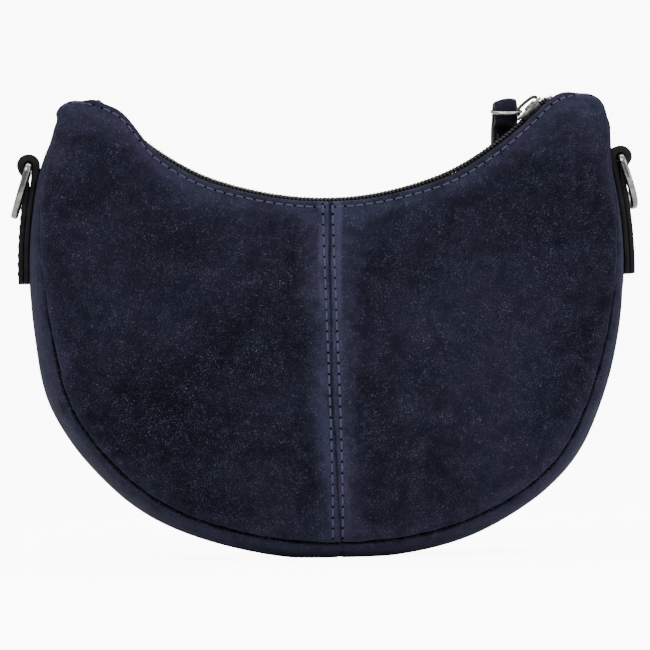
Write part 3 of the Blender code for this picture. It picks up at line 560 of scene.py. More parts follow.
# %% Colour the nap
base = blend_colour(nap, lit, given["Deep"], given["Pale"])
brushed = blend_colour(nap, 1.0, given["Pale"], (1.95, 1.95, 1.95, 1), "MULTIPLY")
base = blend_colour(nap, ramp(nap, given["Rub"], 1.0, 2.0), base, brushed)
# painted shade: below 0 the colour goes to near black, for the shadow in a seam's fold
base = blend_colour(nap, ramp(nap, times(given["Rub"], -1.0), 0.05, 0.9), base, FOLD_PAINTED_SHADE)
tinge = ramp(nap, speckle(nap, 55.0, 4.0), 0.35, 0.65)
tinge = blend_colour(nap, tinge, (0.90, 1.03, 1.0, 1), (1.08, 0.97, 1.02, 1))
base = blend_colour(nap, 1.0, base, tinge, "MULTIPLY")
hair = times(ramp(nap, stray, 0.60, 0.72), ramp(nap, mottle, 0.3, 0.6, 0.15, 0.9))
fill(result, {
    "Color": blend_colour(nap, hair, base, given["Fibre"]),
    "Roughness": ramp(nap, lit, 0.0, 1.0, 0.95, 0.80),
    "Height": add(times(grain, 0.7), times(mottle, 0.6)),
})


# %% Suede materials
def suede(name, deep, pale, fibre):
    """A suede that reads each point's rub, painted sheen and painted shade."""
    material, tree, shader = new_material(name)
    rub = add_node(tree, "ShaderNodeAttribute", attribute_name="rub").outputs["Fac"]
    values = {"Deep": (*deep, 1), "Pale": (*pale, 1), "Fibre": (*fibre, 1), "Rub": rub}
    cover(tree, shader, nap, values, relief=0.00022, strength=0.9)
    fill(shader, {
        "Specular IOR Level": 0.05, "Sheen Weight": 0.03, "Sheen Roughness": 0.45,
        "Sheen Tint": (0.55, 0.60, 0.85, 1),
    })
    return material


navy_suede = suede(
    "navy_suede", deep=(0.0009, 0.00095, 0.0023), pale=(0.0124, 0.0124, 0.0252), fibre=(0.060, 0.059, 0.098)
)
print("nodes in the nap:", len(nap.nodes))

# %% [markdown]
# ## The two faces
# Each face is two halves joined by an upright seam in the middle. The real bag is made
# from flat hide, and its roundness comes from the curve that the edges are cut to.
# We loft each half from the mouth down to the gusset seam, with the fullness in between.
# Then we add what sewing does: the halves dive into a valley at the centre seam, the
# seam allowances press into a flat band beside it, each edge rolls over into the gusset
# seam, and small puckers run along it.

# %% Loft half a face
MIRROR = {"left": -1, "right": 1, "front": -1, "back": 1}
SUEDE, BULGE, FACE_DROP = 1.6, 11, 138
SEAM_ROW, HEM_ROW = 1.9, 1.5
SEAM_BAND, HEM_BAND = (7.0, 9.6), (6.0, 8.0)
# stations stand close beside the centre seam, and rows close at both edges, where sewing shows
near_seam = np.r_[np.arange(0.0, 0.32, 0.04), np.arange(0.32, 1.0, 0.085)]
stations = np.r_[near_seam, np.arange(1.0, 20.01, 0.19)]
stations = np.r_[stations[stations < 19.9], 20.0]
rows = np.r_[np.arange(0, 6.0, 0.45), np.arange(6.0, 132.0, 2.0), np.arange(132.0, 137.6, 0.42)]
rows = np.r_[rows / FACE_DROP, 1.0]
print("grid of half a face: %d by %d" % (len(stations), len(rows)))


def fullness(row):
    """How far the skin swells between mouth and seam, up to 1."""
    return row**1.3 * (1 - row**5) / 0.526


def face_loft():
    """Smooth grid of half a face, its outward direction, and distances along and from its edges."""
    edge, share = mouth_at(stations), seam_share(stations)
    point, outward = crest_at(share)
    seam = point - outward * gusset_crown(share)[:, None]
    length = np.linalg.norm(seam - edge, axis=-1)[:, None]
    width = mouth_width(stations)[:, None]
    flat = edge[:, None] + (seam - edge)[:, None] * rows[None, :, None]
    across = width + (gusset_width(share)[:, None] - width) * rows
    across = across + BULGE * length / FACE_DROP * fullness(rows)
    grid = np.stack([flat[..., 0], across, flat[..., 1]], -1)
    grid[0, :, 0] = 0
    return grid, outward, share * CREST_LENGTH, rows * length, (1 - rows) * length


# %% Dents, bands and puckers
def soft_noise(spots, size, seed):
    """Smooth noise between about -1 and 1 at points in millimetres, with a feature size."""
    flat = spots.reshape(-1, 3) / size + np.array([seed, seed * 2.3, seed * 0.7])
    return np.array([noise.noise(Vector(spot)) for spot in flat]).reshape(spots.shape[:-1])


def pleat_wave(run, seed):
    """Uneven ripples along a sewn edge."""
    short, middle = np.sin(run / 1.55 + seed) * 0.5, np.sin(run / 2.37 + 2.1 * seed) * 0.35
    return short + middle + np.sin(run / 4.1 + seed) * 0.4


def face_relief(world, x, run, from_mouth, from_seam, seed):
    """How far each point of a face stands out from the smooth loft."""
    # broad dents, away from the sewn edges
    relief = soft_noise(world, 46, seed) * 1.5 + soft_noise(world, 20, seed + 9) * 0.45
    relief = relief * rise(from_seam, 1, 24) * rise(from_mouth, 1, 18) * rise(x, 2, 26)
    # the bands where a second layer lies under the skin, the valley of the seam, and the stitch rows
    relief = relief + 0.42 * (1 - rise(x, *SEAM_BAND)) + 0.30 * (1 - rise(from_mouth, *HEM_BAND))
    relief = relief - 0.6 * np.clip(1 - x / 1.2, 0, 1)**1.6
    relief = relief - 0.30 * near(x, SEAM_ROW, 0.5) - 0.30 * near(from_mouth, HEM_ROW, 0.6)
    # puckers along the gusset seam
    ripple = pleat_wave(run, seed)[:, None] * rise(x, 0, 6)
    return relief + ripple * 0.30 * np.exp(-from_seam / 5.5)


# %% Where the suede is rubbed, and where sheen and shade are painted
DARK_PATCHES = [(0.36, -62, 120, 21), (0.26, -60, 68, 22)]


def face_rub_sheen_shade(world, x, from_mouth, from_seam, side, face, seed):
    """How rubbed each point of a face is, most beside its seam and its hem, with painted sheen beside the
    gusset seam and painted shade in the seams.
    """
    z = world[..., 2]
    near_hem = rise(z, 86, 104)
    # beside the centre seam, beside the hem and on the horns, and beside the gusset seam, where the
    # lightening is painted sheen
    rub = 0.88 * (1 - rise(x, 3.5, 12.8 + 1.3 * side + 5.0 * near_hem))
    rub = rub + 0.68 * (1 - rise(from_mouth, 2.5, 12.0))
    rub = rub + 0.42 * (1 - rise(from_seam, 2.0, 9.0)) + 0.5 * rise(stations, 14.0, 18.0)[:, None]
    rub = rub + 0.35 * near(from_mouth, 3.8, 1.3)
    rub = np.clip(rub + 0.25 * soft_noise(world, 17, seed + 4), 0, 1)
    # the narrow band that the seam's two rows of stitches press up
    pressed = (1 - rise(x, 3.7, 5.3)) * rise(x, 0.2, 0.9) * (1 + 0.9 * soft_noise(world, 7, seed + 6))
    rub = rub + (0.38 + 0.42 * near_hem) * pressed
    if face == MIRROR["front"]:
        for darker, patch_x, patch_z, patch_height in DARK_PATCHES:
            rub = rub - darker * near(world[..., 0], patch_x, 24) * near(z, patch_z, patch_height)
    # and painted shade, near black, where the seams fold in and along the crease of the centre seam
    seam_shade = 1.7 * (1 - 0.75 * rise(z, 84, 110)) * (1 - rise(from_seam, 0.2, 1.2))
    return np.clip(rub - seam_shade - 0.75 * near(x, 0, 0.4), -1, 2)


# %% Sew the four halves
def groove(distance, depth, width):
    """How far leather rolls in beside a seam: a quarter circle, squashed."""
    inside = np.clip(1 - distance / width, 0, 1)
    return depth * (1 - np.sqrt(1 - inside**2))


def roll_in(grid, tuck, outward, across=1):
    """Pull points inwards, in the plane of the outline and across it."""
    grid[..., 0] -= tuck * outward[:, None, 0]
    grid[..., 1] -= tuck * across
    grid[..., 2] -= tuck * outward[:, None, 1]


def hold_middle(grid):
    """Keep a half on its own side, with its first column on the middle plane."""
    grid[..., 0] = np.maximum(grid[..., 0], 0)
    grid[0, :, 0] = 0


def face_half(side, face):
    """Outer grid of half a face, and each point's rub, painted sheen and painted shade."""
    smooth, outward, run, from_mouth, from_seam = face_loft()
    x, world, seed = smooth[..., 0], smooth * np.array([side, face, 1]), 3.0 + side + 2 * face
    relief = face_relief(world, x, run, from_mouth, from_seam, seed)
    grid = smooth + grid_normals(smooth) * relief[..., None]
    roll_in(grid, groove(from_seam, 1.8, 3.2), outward)
    closing = np.clip(1 - from_mouth / 3.6, 0, 1)**2 * rise(stations, 16.2, 17.4)[:, None]
    grid[..., 1] -= 1.7 * closing
    grid[..., 2] -= 0.7 * closing
    hold_middle(grid)
    return grid, face_rub_sheen_shade(world, x, from_mouth, from_seam, side, face, seed)


face_grids = {}
for face in ("front", "back"):
    for side in ("left", "right"):
        grid, rub = face_half(MIRROR[side], MIRROR[face])
        normal, flip = grid_normals(grid), np.array([MIRROR[side], MIRROR[face], 1])
        outer, inner = settle(grid * flip), settle((grid - normal * SUEDE) * flip)
        piece = thick_skin("suede_%s_%s" % (face, side), outer, inner, navy_suede, hem_steps=3, rub=rub)
        face_grids[face, side] = (outer, normal * flip)
        dress(piece, "bag", "%s_panel_%s" % (face, side))
        print(piece.name, "faces:", len(piece.data.polygons))

# %% [markdown]
# ## The gusset
# A long strip of suede goes round the bottom and both sides, and it is joined under the
# bag. It bows outwards between its two seams, so from the front it shows as a pale rim
# beyond the dark line of the seam. On the surface that the bag stands on it goes flat,
# and where the strap loops are sewn on it is pressed flat too.

# %% Loft the gusset
strip_rows = np.r_[np.linspace(-1, -0.84, 11), np.linspace(-0.82, 0.82, 33), np.linspace(0.84, 1, 11)]
strip_stations = np.r_[np.arange(0.0, 1.0, 0.1), np.arange(1.0, 19.0, 0.15), np.linspace(19.0, 21.0, 28)]
tongue = rise(strip_stations, 19.2, 20.6)
strip_share = seam_share(np.minimum(strip_stations, 20))
print("grid of half the gusset: %d by %d" % (len(strip_stations), len(strip_rows)))


def gusset_loft():
    """Smooth grid of half the gusset, its outward direction and its half widths."""
    point, outward = crest_at(strip_share)
    crown = (gusset_crown(strip_share) * np.sqrt(1 - 0.96 * tongue))[:, None]
    width = (gusset_width(strip_share) * (1 - 0.68 * rise(strip_stations, 19.7, 21)))[:, None]
    seam = point - outward * gusset_crown(strip_share)[:, None]
    seam = seam + np.clip(strip_stations - 20, 0, 1)[:, None] * np.array([-0.9, 4.6])
    flat = seam[:, None] + outward[:, None] * (crown * (1 - np.abs(strip_rows)**3))[..., None]
    return np.stack([flat[..., 0], width * strip_rows, flat[..., 1]], -1), outward, width


def gusset_relief(smooth, world, width, from_seam, seed):
    """Dents and puckers, fading to a flat place under the bag and under the loops."""
    height, middle = smooth[..., 2], np.abs(smooth[..., 1])
    run = (strip_share * CREST_LENGTH)[:, None]
    relief = soft_noise(world, 26, seed) * 0.75 * rise(from_seam, 1, 10)
    for end in (-1, 1):
        relief = relief + pleat_wave(run, seed + end) * 0.34 * np.exp(-((1 - end * strip_rows) * width) / 5.0)
    relief = relief * rise(smooth[..., 0], 0, 8) * (0.25 + 0.75 * rise(height, 4, 26))
    relief = relief - 0.7 * np.clip(1 - smooth[..., 0] / 1.4, 0, 1)**1.6
    pressed = rise(height, 100, 106) * (1 - rise(height, 157, 163)) * (1 - rise(middle, 9, 12))
    return relief * (1 - pressed) + 0.12 * pressed


def gusset_half(side):
    """Outer grid of half the gusset, and each point's rub, painted sheen and painted shade."""
    smooth, outward, width = gusset_loft()
    world, seed, height = smooth * np.array([side, 1, 1]), 11.0 + side, smooth[..., 2]
    from_seam = (1 - np.abs(strip_rows)) * width
    direction = np.stack([outward[:, 0], outward[:, 0] * 0, outward[:, 1]], -1)[:, None]
    grid = smooth + direction * gusset_relief(smooth, world, width, from_seam, seed)[..., None]
    tuck = groove(from_seam, 1.9, np.minimum(4.8, 0.9 * width)) * (1 - tongue)[:, None]
    roll_in(grid, tuck, outward, np.sign(strip_rows))
    hold_middle(grid)
    # paler than the faces and palest beside its seams: partly rubbed nap, partly painted sheen
    rub = 0.78 + 0.45 * np.exp(-from_seam / 4.0) + 0.3 * soft_noise(world, 14, seed + 4)
    rub = np.clip(rub + 0.25 * (1 - rise(height, 8, 36)), 0, 1)
    # painted shade: near black where the seams fold in, and along the join under the bag
    seam_shade = 1.8 * (1 - 0.8 * rise(height, 84, 110)) * (1 - rise(from_seam, 0.3, 1.6))
    return grid, np.clip(rub - seam_shade - 0.55 * near(grid[..., 0], 0, 0.4), -1, 1)


# %% Sew the gusset's halves
def on_ground(grid):
    """Press the lowest points flat, where the bag stands."""
    grid = grid.copy()
    grid[..., 2] = 0.5 * (grid[..., 2] + np.sqrt(grid[..., 2]**2 + 0.06))
    return grid


gusset_grids = {}
for side in ("left", "right"):
    grid, rub = gusset_half(MIRROR[side])
    flip = np.array([MIRROR[side], 1, 1])
    outer, normal = on_ground(settle(grid * flip)), -grid_normals(grid) * flip
    piece = thick_skin("gusset_band_" + side, outer, outer - normal * SUEDE, navy_suede, rub=rub)
    gusset_grids[side] = (outer, normal)
    dress(piece, "bag", "gusset_" + side)
    print(piece.name, "faces:", len(piece.data.polygons))

# %% [markdown]
# ## Lining
# Inside, a thin woven lining hangs from the hem and follows the suede all the way round.
# It only shows when the zip is open. Each face has one sheet, and the gusset has another.
# Its weave is two crossed sets of bands.

# %% Lining cloth
lining_cloth, tree, shader = new_material("lining_cloth")
place = add_node(tree, "ShaderNodeTexCoord").outputs["Object"]
bands = {"Vector": place, "Scale": 900.0, "Distortion": 0.3}
warp, weft = (
    add_node(tree, "ShaderNodeTexWave", bands, bands_direction=way).outputs["Fac"] for way in ("X", "Z")
)
threads = maths(tree, "MULTIPLY", warp, weft)
fill(shader, {
    "Base Color": blend_colour(tree, threads, (0.016, 0.017, 0.021, 1), (0.045, 0.047, 0.055, 1)),
    "Normal": relief_of(tree, threads, 0.0002), "Roughness": 0.85, "Sheen Weight": 0.2,
})

# %% Hang the lining
LINING, LINING_GAP = 0.35, 0.3


def whole_grid(left, right):
    """Join two halves, whose first columns meet in the middle, into one grid."""
    middle = (left[2] + right[2]) / 2
    middle[:, 0] = 0
    return np.concatenate([left[:2:-1], middle[None], right[3:]])


def add_lining(name, node, halves, window):
    """A sheet just inside two halves of suede."""
    grid = whole_grid(*(grid[window] for grid, normal in halves))
    inward = -whole_grid(*(normal[window] for grid, normal in halves))
    outer = grid + inward * (SUEDE + LINING_GAP)
    sheet = thick_skin(name, outer, outer + inward * LINING, lining_cloth)
    dress(sheet, "bag", node)


hem_row = int(np.searchsorted(rows, 0.17))
face_window = np.s_[:int(np.searchsorted(stations, 14.0)), hem_row:-9:3]
strip_window = np.s_[:int(np.searchsorted(strip_stations, 14.0)), 8:-8:2]
for face in ("front", "back"):
    halves = [face_grids[face, side] for side in ("left", "right")]
    add_lining("lining_sheet_" + face, face + "_lining", halves, face_window)
add_lining("lining_sheet_gusset", "gusset_lining", list(gusset_grids.values()), strip_window)

# %% [markdown]
# ## Zip tapes
# A zip is two woven tapes, each with a row of nylon coil sewn along its edge. The tapes
# lie flat under the coil and then turn down inside the hems, where they are stitched.
# Their cloth is a fine herringbone. It follows the tape, so it reads a UV map that
# counts millimetres along and across the tape.

# %% Tape material
tape_cloth, tree, shader = new_material("tape_herringbone")
add, times = sums(tree, "ADD", "MULTIPLY")
place = add_node(tree, "ShaderNodeUVMap", uv_map="tape").outputs["UV"]
axes = add_node(tree, "ShaderNodeSeparateXYZ", {"Vector": place}).outputs
slant = add(axes["X"], times(maths(tree, "PINGPONG", axes["Y"], 1.1), 0.9))
ribs = ramp(tree, maths(tree, "PINGPONG", slant, 0.28), 0.04, 0.26)
# near black: partly the tape's own dark colour, partly painted shade where it shows between the coil and the
# hem
fill(shader, {
    "Base Color": blend_colour(tree, ribs, (0.001, 0.001, 0.002, 1), (0.007, 0.007, 0.010, 1)),
    "Normal": relief_of(tree, ribs, 0.00015), "Roughness": 0.85, "Specular IOR Level": 0.15,
})

# %% Weave the tapes
TAPE_DEPTH, TAPE_BEND, TAPE_HALF, TAPE_STEP = 1.98, 0.75, 0.24, 0.55
TAPE_END, SLIDER_AT, PARTING = 53.4, 44.5, 1.7
CLOSED_UNTIL, OPEN_FROM = 1.2, 1.6


def parting(angle_deg):
    """How far a row stands aside to pass the slider's post."""
    start, end = (SLIDER_AT + math.degrees(run / ARC_RADIUS) for run in (-CLOSED_UNTIL, OPEN_FROM))
    return PARTING * rise(angle_deg, start, end)


def tape_line(angle):
    """Middle line of a tape's section: flat, then bent down, as (across, depth)."""
    along = abs(angle)
    start = (1.35 + parting(angle)) * (1 - rise(along, 49.4, 51.0)) + 0.1
    edge = max(start + 0.3, min(5.6, mouth_width(along / HEM_END * ARC_STEPS) - 2.6))
    bend = np.linspace(0, math.pi / 2, 7)[1:]
    fall = np.linspace(0, 7.0 - 5.0 * rise(along, 44, 49.6), 8)[1:]
    corner = edge + TAPE_BEND * np.sin(bend)
    across = np.r_[np.linspace(start, edge, 10), corner, fall * 0 + edge + TAPE_BEND]
    depth = np.r_[np.zeros(10), TAPE_BEND * (1 - np.cos(bend)), TAPE_BEND + fall]
    return across, TAPE_DEPTH + depth


def zip_tape(name, face, node):
    """One tape, drawn section by section along the arc, with its UV map."""
    angles = np.linspace(-TAPE_END, TAPE_END, 176)
    top, under = [], []
    for angle in angles:
        across, depth = tape_line(angle)
        turn_in, fall = np.gradient(across), np.gradient(depth)
        reach = np.hypot(turn_in, fall)
        for grid, side in ((top, TAPE_HALF), (under, -TAPE_HALF)):
            flat = arc_at(angle, depth - side * turn_in / reach)
            grid.append(np.stack([flat[:, 0], face * (across + side * fall / reach), flat[:, 1]], -1))
    piece = thick_skin(name, settle_chain(np.array(top)), settle_chain(np.array(under)), tape_cloth)
    section = np.arange(len(top[0])) * TAPE_STEP
    widths, runs = [*section, *section[::-1]], np.radians(angles) * ARC_RADIUS
    table = np.array([(run, width) for run in runs for width in widths])
    corner = np.zeros(len(piece.data.loops), int)
    piece.data.loops.foreach_get("vertex_index", corner)
    piece.data.uv_layers.new(name="tape").data.foreach_set("uv", table[corner].reshape(-1).astype(np.float32))
    dress(piece, "bag", node)
    print(name, "width of cloth: %.1f mm" % section[-1])


zip_tape("tape_front", -1, "front_zip_tape")
zip_tape("tape_back", 1, "back_zip_tape")

# %% [markdown]
# ## Zip coil
# The teeth of this zip are one nylon thread wound into a long flattened spiral, and each
# turn makes a tooth. Something that repeats along a path is work for Geometry Nodes: the
# tree below takes a straight line of points, bends it round the zip's arc, winds it round
# itself, and gives it a round section. The same tree, with other sizes, makes the cord
# inside the coil and the sewing thread that holds it down.

# %% Winding tree
STEPS_PER_TURN = 10
winding, given, result = new_group(
    "GeometryNodeTree", "winding",
    {
        "Turns": 130, "First Turn": 0.0, "Pitch": 0.00152, "Arc Radius": 0.116, "Centre Height": 0.2556,
        "Side": 1.0, "Middle Across": 0.001, "Half Width": 0.0014, "Middle Depth": 0.00085,
        "Half Height": 0.00055, "Thread Radius": 0.0003, "Slider Angle": 0.776, "Parting": 0.0017,
        "Closed Until": 0.0103, "Open From": 0.0138, "Material": None,
    },
    ("Geometry",),
)
add, less, times, over = sums(winding, "ADD", "SUBTRACT", "MULTIPLY", "DIVIDE")
index = add_node(winding, "GeometryNodeInputIndex").outputs["Index"]
turn = over(index, STEPS_PER_TURN)
angle = over(times(add(turn, given["First Turn"]), given["Pitch"]), given["Arc Radius"])
wind = times(turn, 2 * math.pi)
opens = less(given["Slider Angle"], given["Closed Until"])
is_open = add(given["Slider Angle"], given["Open From"])
opening = ramp(winding, angle, opens, is_open, 0.0, given["Parting"])
swing = times(maths(winding, "COSINE", wind), given["Half Width"])
across = times(add(less(given["Middle Across"], swing), opening), given["Side"])
dip = times(maths(winding, "SINE", wind), given["Half Height"])
radius = add(less(given["Middle Depth"], dip), given["Arc Radius"])
far = times(radius, maths(winding, "SINE", angle))
height = less(given["Centre Height"], times(radius, maths(winding, "COSINE", angle)))
spot = add_node(winding, "ShaderNodeCombineXYZ", {"X": far, "Y": across, "Z": height}).outputs["Vector"]


# %% Thread round the path
def tube(tree, curve, radius):
    """A round thread along a curve."""
    section = add_node(tree, "GeometryNodeCurvePrimitiveCircle", {"Resolution": 6, "Radius": radius})
    sources = {"Curve": curve, "Profile Curve": section.outputs["Curve"], "Fill Caps": True}
    return add_node(tree, "GeometryNodeCurveToMesh", sources).outputs["Mesh"]


def end_tree(tree, geometry, given, result):
    """Every tree ends alike: real geometry, smooth, in one material."""
    real = add_node(tree, "GeometryNodeRealizeInstances", {"Geometry": geometry}).outputs["Geometry"]
    smooth = add_node(tree, "GeometryNodeSetShadeSmooth", {"Geometry": real}).outputs["Geometry"]
    dressed = add_node(tree, "GeometryNodeSetMaterial", {"Geometry": smooth, "Material": given["Material"]})
    fill(result, {"Geometry": dressed.outputs["Geometry"]})


count = add(times(given["Turns"], STEPS_PER_TURN), 1)
line = add_node(winding, "GeometryNodeMeshLine", {"Count": count}).outputs["Mesh"]
moved = add_node(winding, "GeometryNodeSetPosition", {"Geometry": line, "Position": spot}).outputs["Geometry"]
path = add_node(winding, "GeometryNodeMeshToCurve", {"Mesh": moved}).outputs["Curve"]
end_tree(winding, tube(winding, path, given["Thread Radius"]), given, result)
print("nodes in the winding:", len(winding.nodes))


# %% Run a tree and keep a plain mesh
def grow(name, tree, base=None, **values):
    """Evaluate a Geometry Nodes tree on an object and keep the result as a plain mesh."""
    item = add_object(name, base or bpy.data.meshes.new(name + "_start"))
    modifier = item.modifiers.new(tree.name, "NODES")
    modifier.node_group = tree
    for socket in tree.interface.items_tree:
        key = socket.name.replace(" ", "_").lower()
        if socket.in_out == "INPUT" and key in values:
            modifier[socket.identifier] = values[key]
    shown = item.evaluated_get(bpy.context.evaluated_depsgraph_get())
    mesh = bpy.data.meshes.new_from_object(shown)
    item.modifiers.remove(modifier)
    item.data = mesh
    mesh.name = name
    print(name, "faces:", len(mesh.polygons))
    return item


# %% Nylon and thread
def speckled(name, scale, detail, dark, light, rough, specular=0.5):
    """A plain material whose colour, and roughness if it is a pair, wander between two values."""
    material, tree, shader = new_material(name)
    speck = speckle(tree, scale, detail)
    rough = ramp(tree, speck, 0.3, 0.7, *rough) if isinstance(rough, tuple) else rough
    fill(shader, {
        "Base Color": blend_colour(tree, speck, (*dark, 1), (*light, 1)), "Roughness": rough,
        "Specular IOR Level": specular,
    })
    return material


coil_nylon = speckled(
    "coil_nylon", 900.0, 3.0, dark=(0.009, 0.009, 0.011), light=(0.036, 0.036, 0.042), rough=(0.30, 0.48)
)
# near black, darker than the coil: partly the cord's own colour, partly painted shade in the gaps between the
# teeth
chain_thread = speckled(
    "chain_thread", 2600.0, 2.0, dark=(0.001, 0.001, 0.002), light=(0.006, 0.006, 0.009),
    rough=0.8, specular=0.15,
)

# %% [markdown]
# Three threads make each row: the coil itself, the cord that fills it, and the sewing
# thread that runs over its outer side. For each thread the table gives the middle across
# and half the width, the middle depth and half the height, and the thread's radius.

# %% Wind the coils
CHAIN_TURNS = 130
WINDINGS = {
    "coil": (coil_nylon, 1.00, 1.38, 0.94, 0.58, 0.34),
    "coil_core": (chain_thread, 1.20, 0.0, 1.06, 0.0, 0.76),
    "coil_thread": (chain_thread, 2.15, 0.22, 0.12, 0.16, 0.14),
}
for face, side, shift in (("front", -1.0, 0.0), ("back", 1.0, 0.5)):
    for name, (material, *sizes) in WINDINGS.items():
        labels = ("middle_across", "half_width", "middle_depth", "half_height", "thread_radius")
        sizes = {label: size * 0.001 for label, size in zip(labels, sizes)}
        first_turn = shift - (CHAIN_TURNS + 0.5) / 2
        piece = grow(
            name + "_" + face, winding, turns=CHAIN_TURNS, first_turn=first_turn, side=side,
            material=material, **sizes,
        )
        move_points(piece, settle_chain)
        dress(piece, "bag", face + "_zip_coil" if name == "coil" else None)

# %% [markdown]
# ## Metal
# The zip's slider, its bail and ring are plated nickel, and the rings on the sides are
# cast and plated in a darker gunmetal. Plating is never perfect: it is a little clouded,
# with fine scratches, and duller in the hollows. One node group gives every metal its
# clouding and scratches, and each metal sets its own colour; the slider and the bail get
# darker copies of the ring's nickel, which are painted shade.

# %% Wear group for plated metal
plate, given, result = new_group(
    "ShaderNodeTree", "plated_wear",
    {"Bright": (0.7, 0.7, 0.7, 1), "Dull": (0.4, 0.4, 0.4, 1), "Smooth": 0.16, "Rough": 0.34},
    ("Color", "Roughness", "Height"),
)
add, less, times = sums(plate, "ADD", "SUBTRACT", "MULTIPLY")
place = add_node(plate, "ShaderNodeTexCoord").outputs["Object"]
stretched = {"Vector": place, "Scale": (600.0, 5200.0, 900.0), "Rotation": (0.5, 0.3, 0.8)}
stretched = add_node(plate, "ShaderNodeMapping", stretched).outputs["Vector"]
scratches = {"Vector": stretched, "Scale": 1.0, "Detail": 2.0}
scratches = add_node(plate, "ShaderNodeTexNoise", scratches).outputs["Fac"]
worn = add(times(speckle(plate, 260.0, 4.0), 0.6), times(scratches, 0.4))
dulled = times(ramp(plate, worn, 0.35, 0.65), less(given["Rough"], given["Smooth"]))
fill(result, {
    "Color": blend_colour(plate, ramp(plate, worn, 0.35, 0.62), given["Bright"], given["Dull"]),
    "Roughness": add(given["Smooth"], dulled), "Height": scratches,
})


def plated(name, bright, dull, smooth, rough):
    """A plated metal, bright where it is polished and dull where it is worn."""
    material, tree, shader = new_material(name)
    values = {"Bright": (*bright, 1), "Dull": (*dull, 1), "Smooth": smooth, "Rough": rough}
    cover(tree, shader, plate, values, relief=0.00001)
    fill(shader, {"Metallic": 1.0})
    return material


# the bail's and the slider's nickels are darker copies of the ring's nickel: painted shade
dark_nickel = plated("dark_nickel", (0.11, 0.108, 0.10), (0.045, 0.044, 0.041), smooth=0.18, rough=0.32)
bright_nickel = plated("bright_nickel", (0.50, 0.49, 0.46), (0.27, 0.265, 0.25), smooth=0.13, rough=0.30)
shaded_nickel = plated("shaded_nickel", (0.24, 0.235, 0.22), (0.10, 0.098, 0.092), smooth=0.16, rough=0.32)
polished_gunmetal = plated(
    "polished_gunmetal", (0.26, 0.255, 0.233), (0.125, 0.122, 0.112), smooth=0.14, rough=0.28
)
print("plated metals:", plate.users)


# %% Carry a section along a path
def swept(name, path, normal, section, materials, closed=False, scale=1.0, face_material=None, swell=1.0):
    """A bar from a path (n, 3), whose section is (sideways in the plane, along the normal)."""
    path, normal = np.asarray(path, float), np.asarray(normal, float)
    heading = np.roll(path, -1, 0) - np.roll(path, 1, 0) if closed else np.gradient(path, axis=0)
    sideways = np.cross(normal, unit(heading)) * np.reshape(swell, (-1, 1))
    spots = path[:, None] + np.reshape(scale, (-1, 1, 1)) * (
        sideways[:, None] * section[None, :, :1] + normal * section[None, :, 1:]
    )
    count, sides = len(path), len(section)
    faces, marks = [], []
    for i in range(count if closed else count - 1):
        for k in range(sides):
            m, j = (k + 1) % sides, (i + 1) % count
            faces.append((i * sides + k, i * sides + m, j * sides + m, j * sides + k))
            marks.append(0 if face_material is None else face_material[k])
    if not closed:
        faces += [tuple(range(sides)), tuple(range((count - 1) * sides, count * sides))]
        marks += [max(marks)] * 2
    return make_piece(name, spots.reshape(-1, 3), faces, materials, marks)


def rounded_bar(thick, wide, corner, flat_steps=1):
    """Section of a flat bar with rounded corners, as (sideways, along the normal)."""
    spots = []
    half, reach = thick / 2 - corner, wide / 2 - corner
    for start, (sign_x, sign_y) in enumerate([(1, 1), (-1, 1), (-1, -1), (1, -1)]):
        for step in range(4):
            turn = math.pi / 2 * (start + step / 3)
            spots.append((sign_x * half + corner * math.cos(turn), sign_y * reach + corner * math.sin(turn)))
        if start in (1, 3):
            for step in range(1, flat_steps):
                spots.append((sign_x * thick / 2, sign_y * reach * (1 - 2 * step / flat_steps)))
    return np.array(spots)


def turns_of(count):
    """Angles of the points of a closed round."""
    return np.linspace(0, 2 * math.pi, count + 1)[:-1]


# %% [markdown]
# ## Slider and its pull
# The slider is a small casting: two shield-shaped plates with a post between them that
# parts the chain. Its solid has the right shape already, so a copy of it is merged and
# its edges get the small rounding that casting and polishing leave. The bail over it is
# a bent strip, and the ring is a round of wire.

# %% Slider body
seat = arc_at(SLIDER_AT, 0)
along_zip = np.array([math.cos(math.radians(SLIDER_AT)), 0, math.sin(math.radians(SLIDER_AT))])
up_zip = np.array([-along_zip[2], 0, along_zip[0]])


def on_zip(along, up):
    """A point on the middle plane, measured from the slider along the zip and up from it."""
    return np.array([seat[0], 0, seat[1]]) + along_zip * along + up_zip * up


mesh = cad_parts["slider_body"].data.copy()
body = bmesh.new()
body.from_mesh(mesh)
bmesh.ops.remove_doubles(body, verts=body.verts[:], dist=0.00001)
bmesh.ops.dissolve_limit(body, angle_limit=math.radians(2), verts=body.verts[:], edges=body.edges[:])
body.to_mesh(mesh)
body.free()
mesh.materials.clear()
mesh.materials.append(shaded_nickel)
slider = add_object("slider_casting", mesh)
rounding = slider.modifiers.new("rounding", "BEVEL")
rounding.width = 0.00018
rounding.segments = 2
rounding.limit_method = "ANGLE"
rounding.angle_limit = math.radians(25)
mesh.shade_smooth()
mesh.set_sharp_from_angle(angle=math.radians(60))
dress(slider, "slider", "slider_body")
print("slider faces before its rounding:", len(mesh.polygons))

# %% Bail
BAIL_LINE = [
    (-4.8, 1.55), (-4.8, 2.75), (-4.4, 3.38), (-3.5, 3.75),
    (-0.4, 3.70), (2.65, 3.35), (4.41, 2.65), (5.0, 1.55),
]


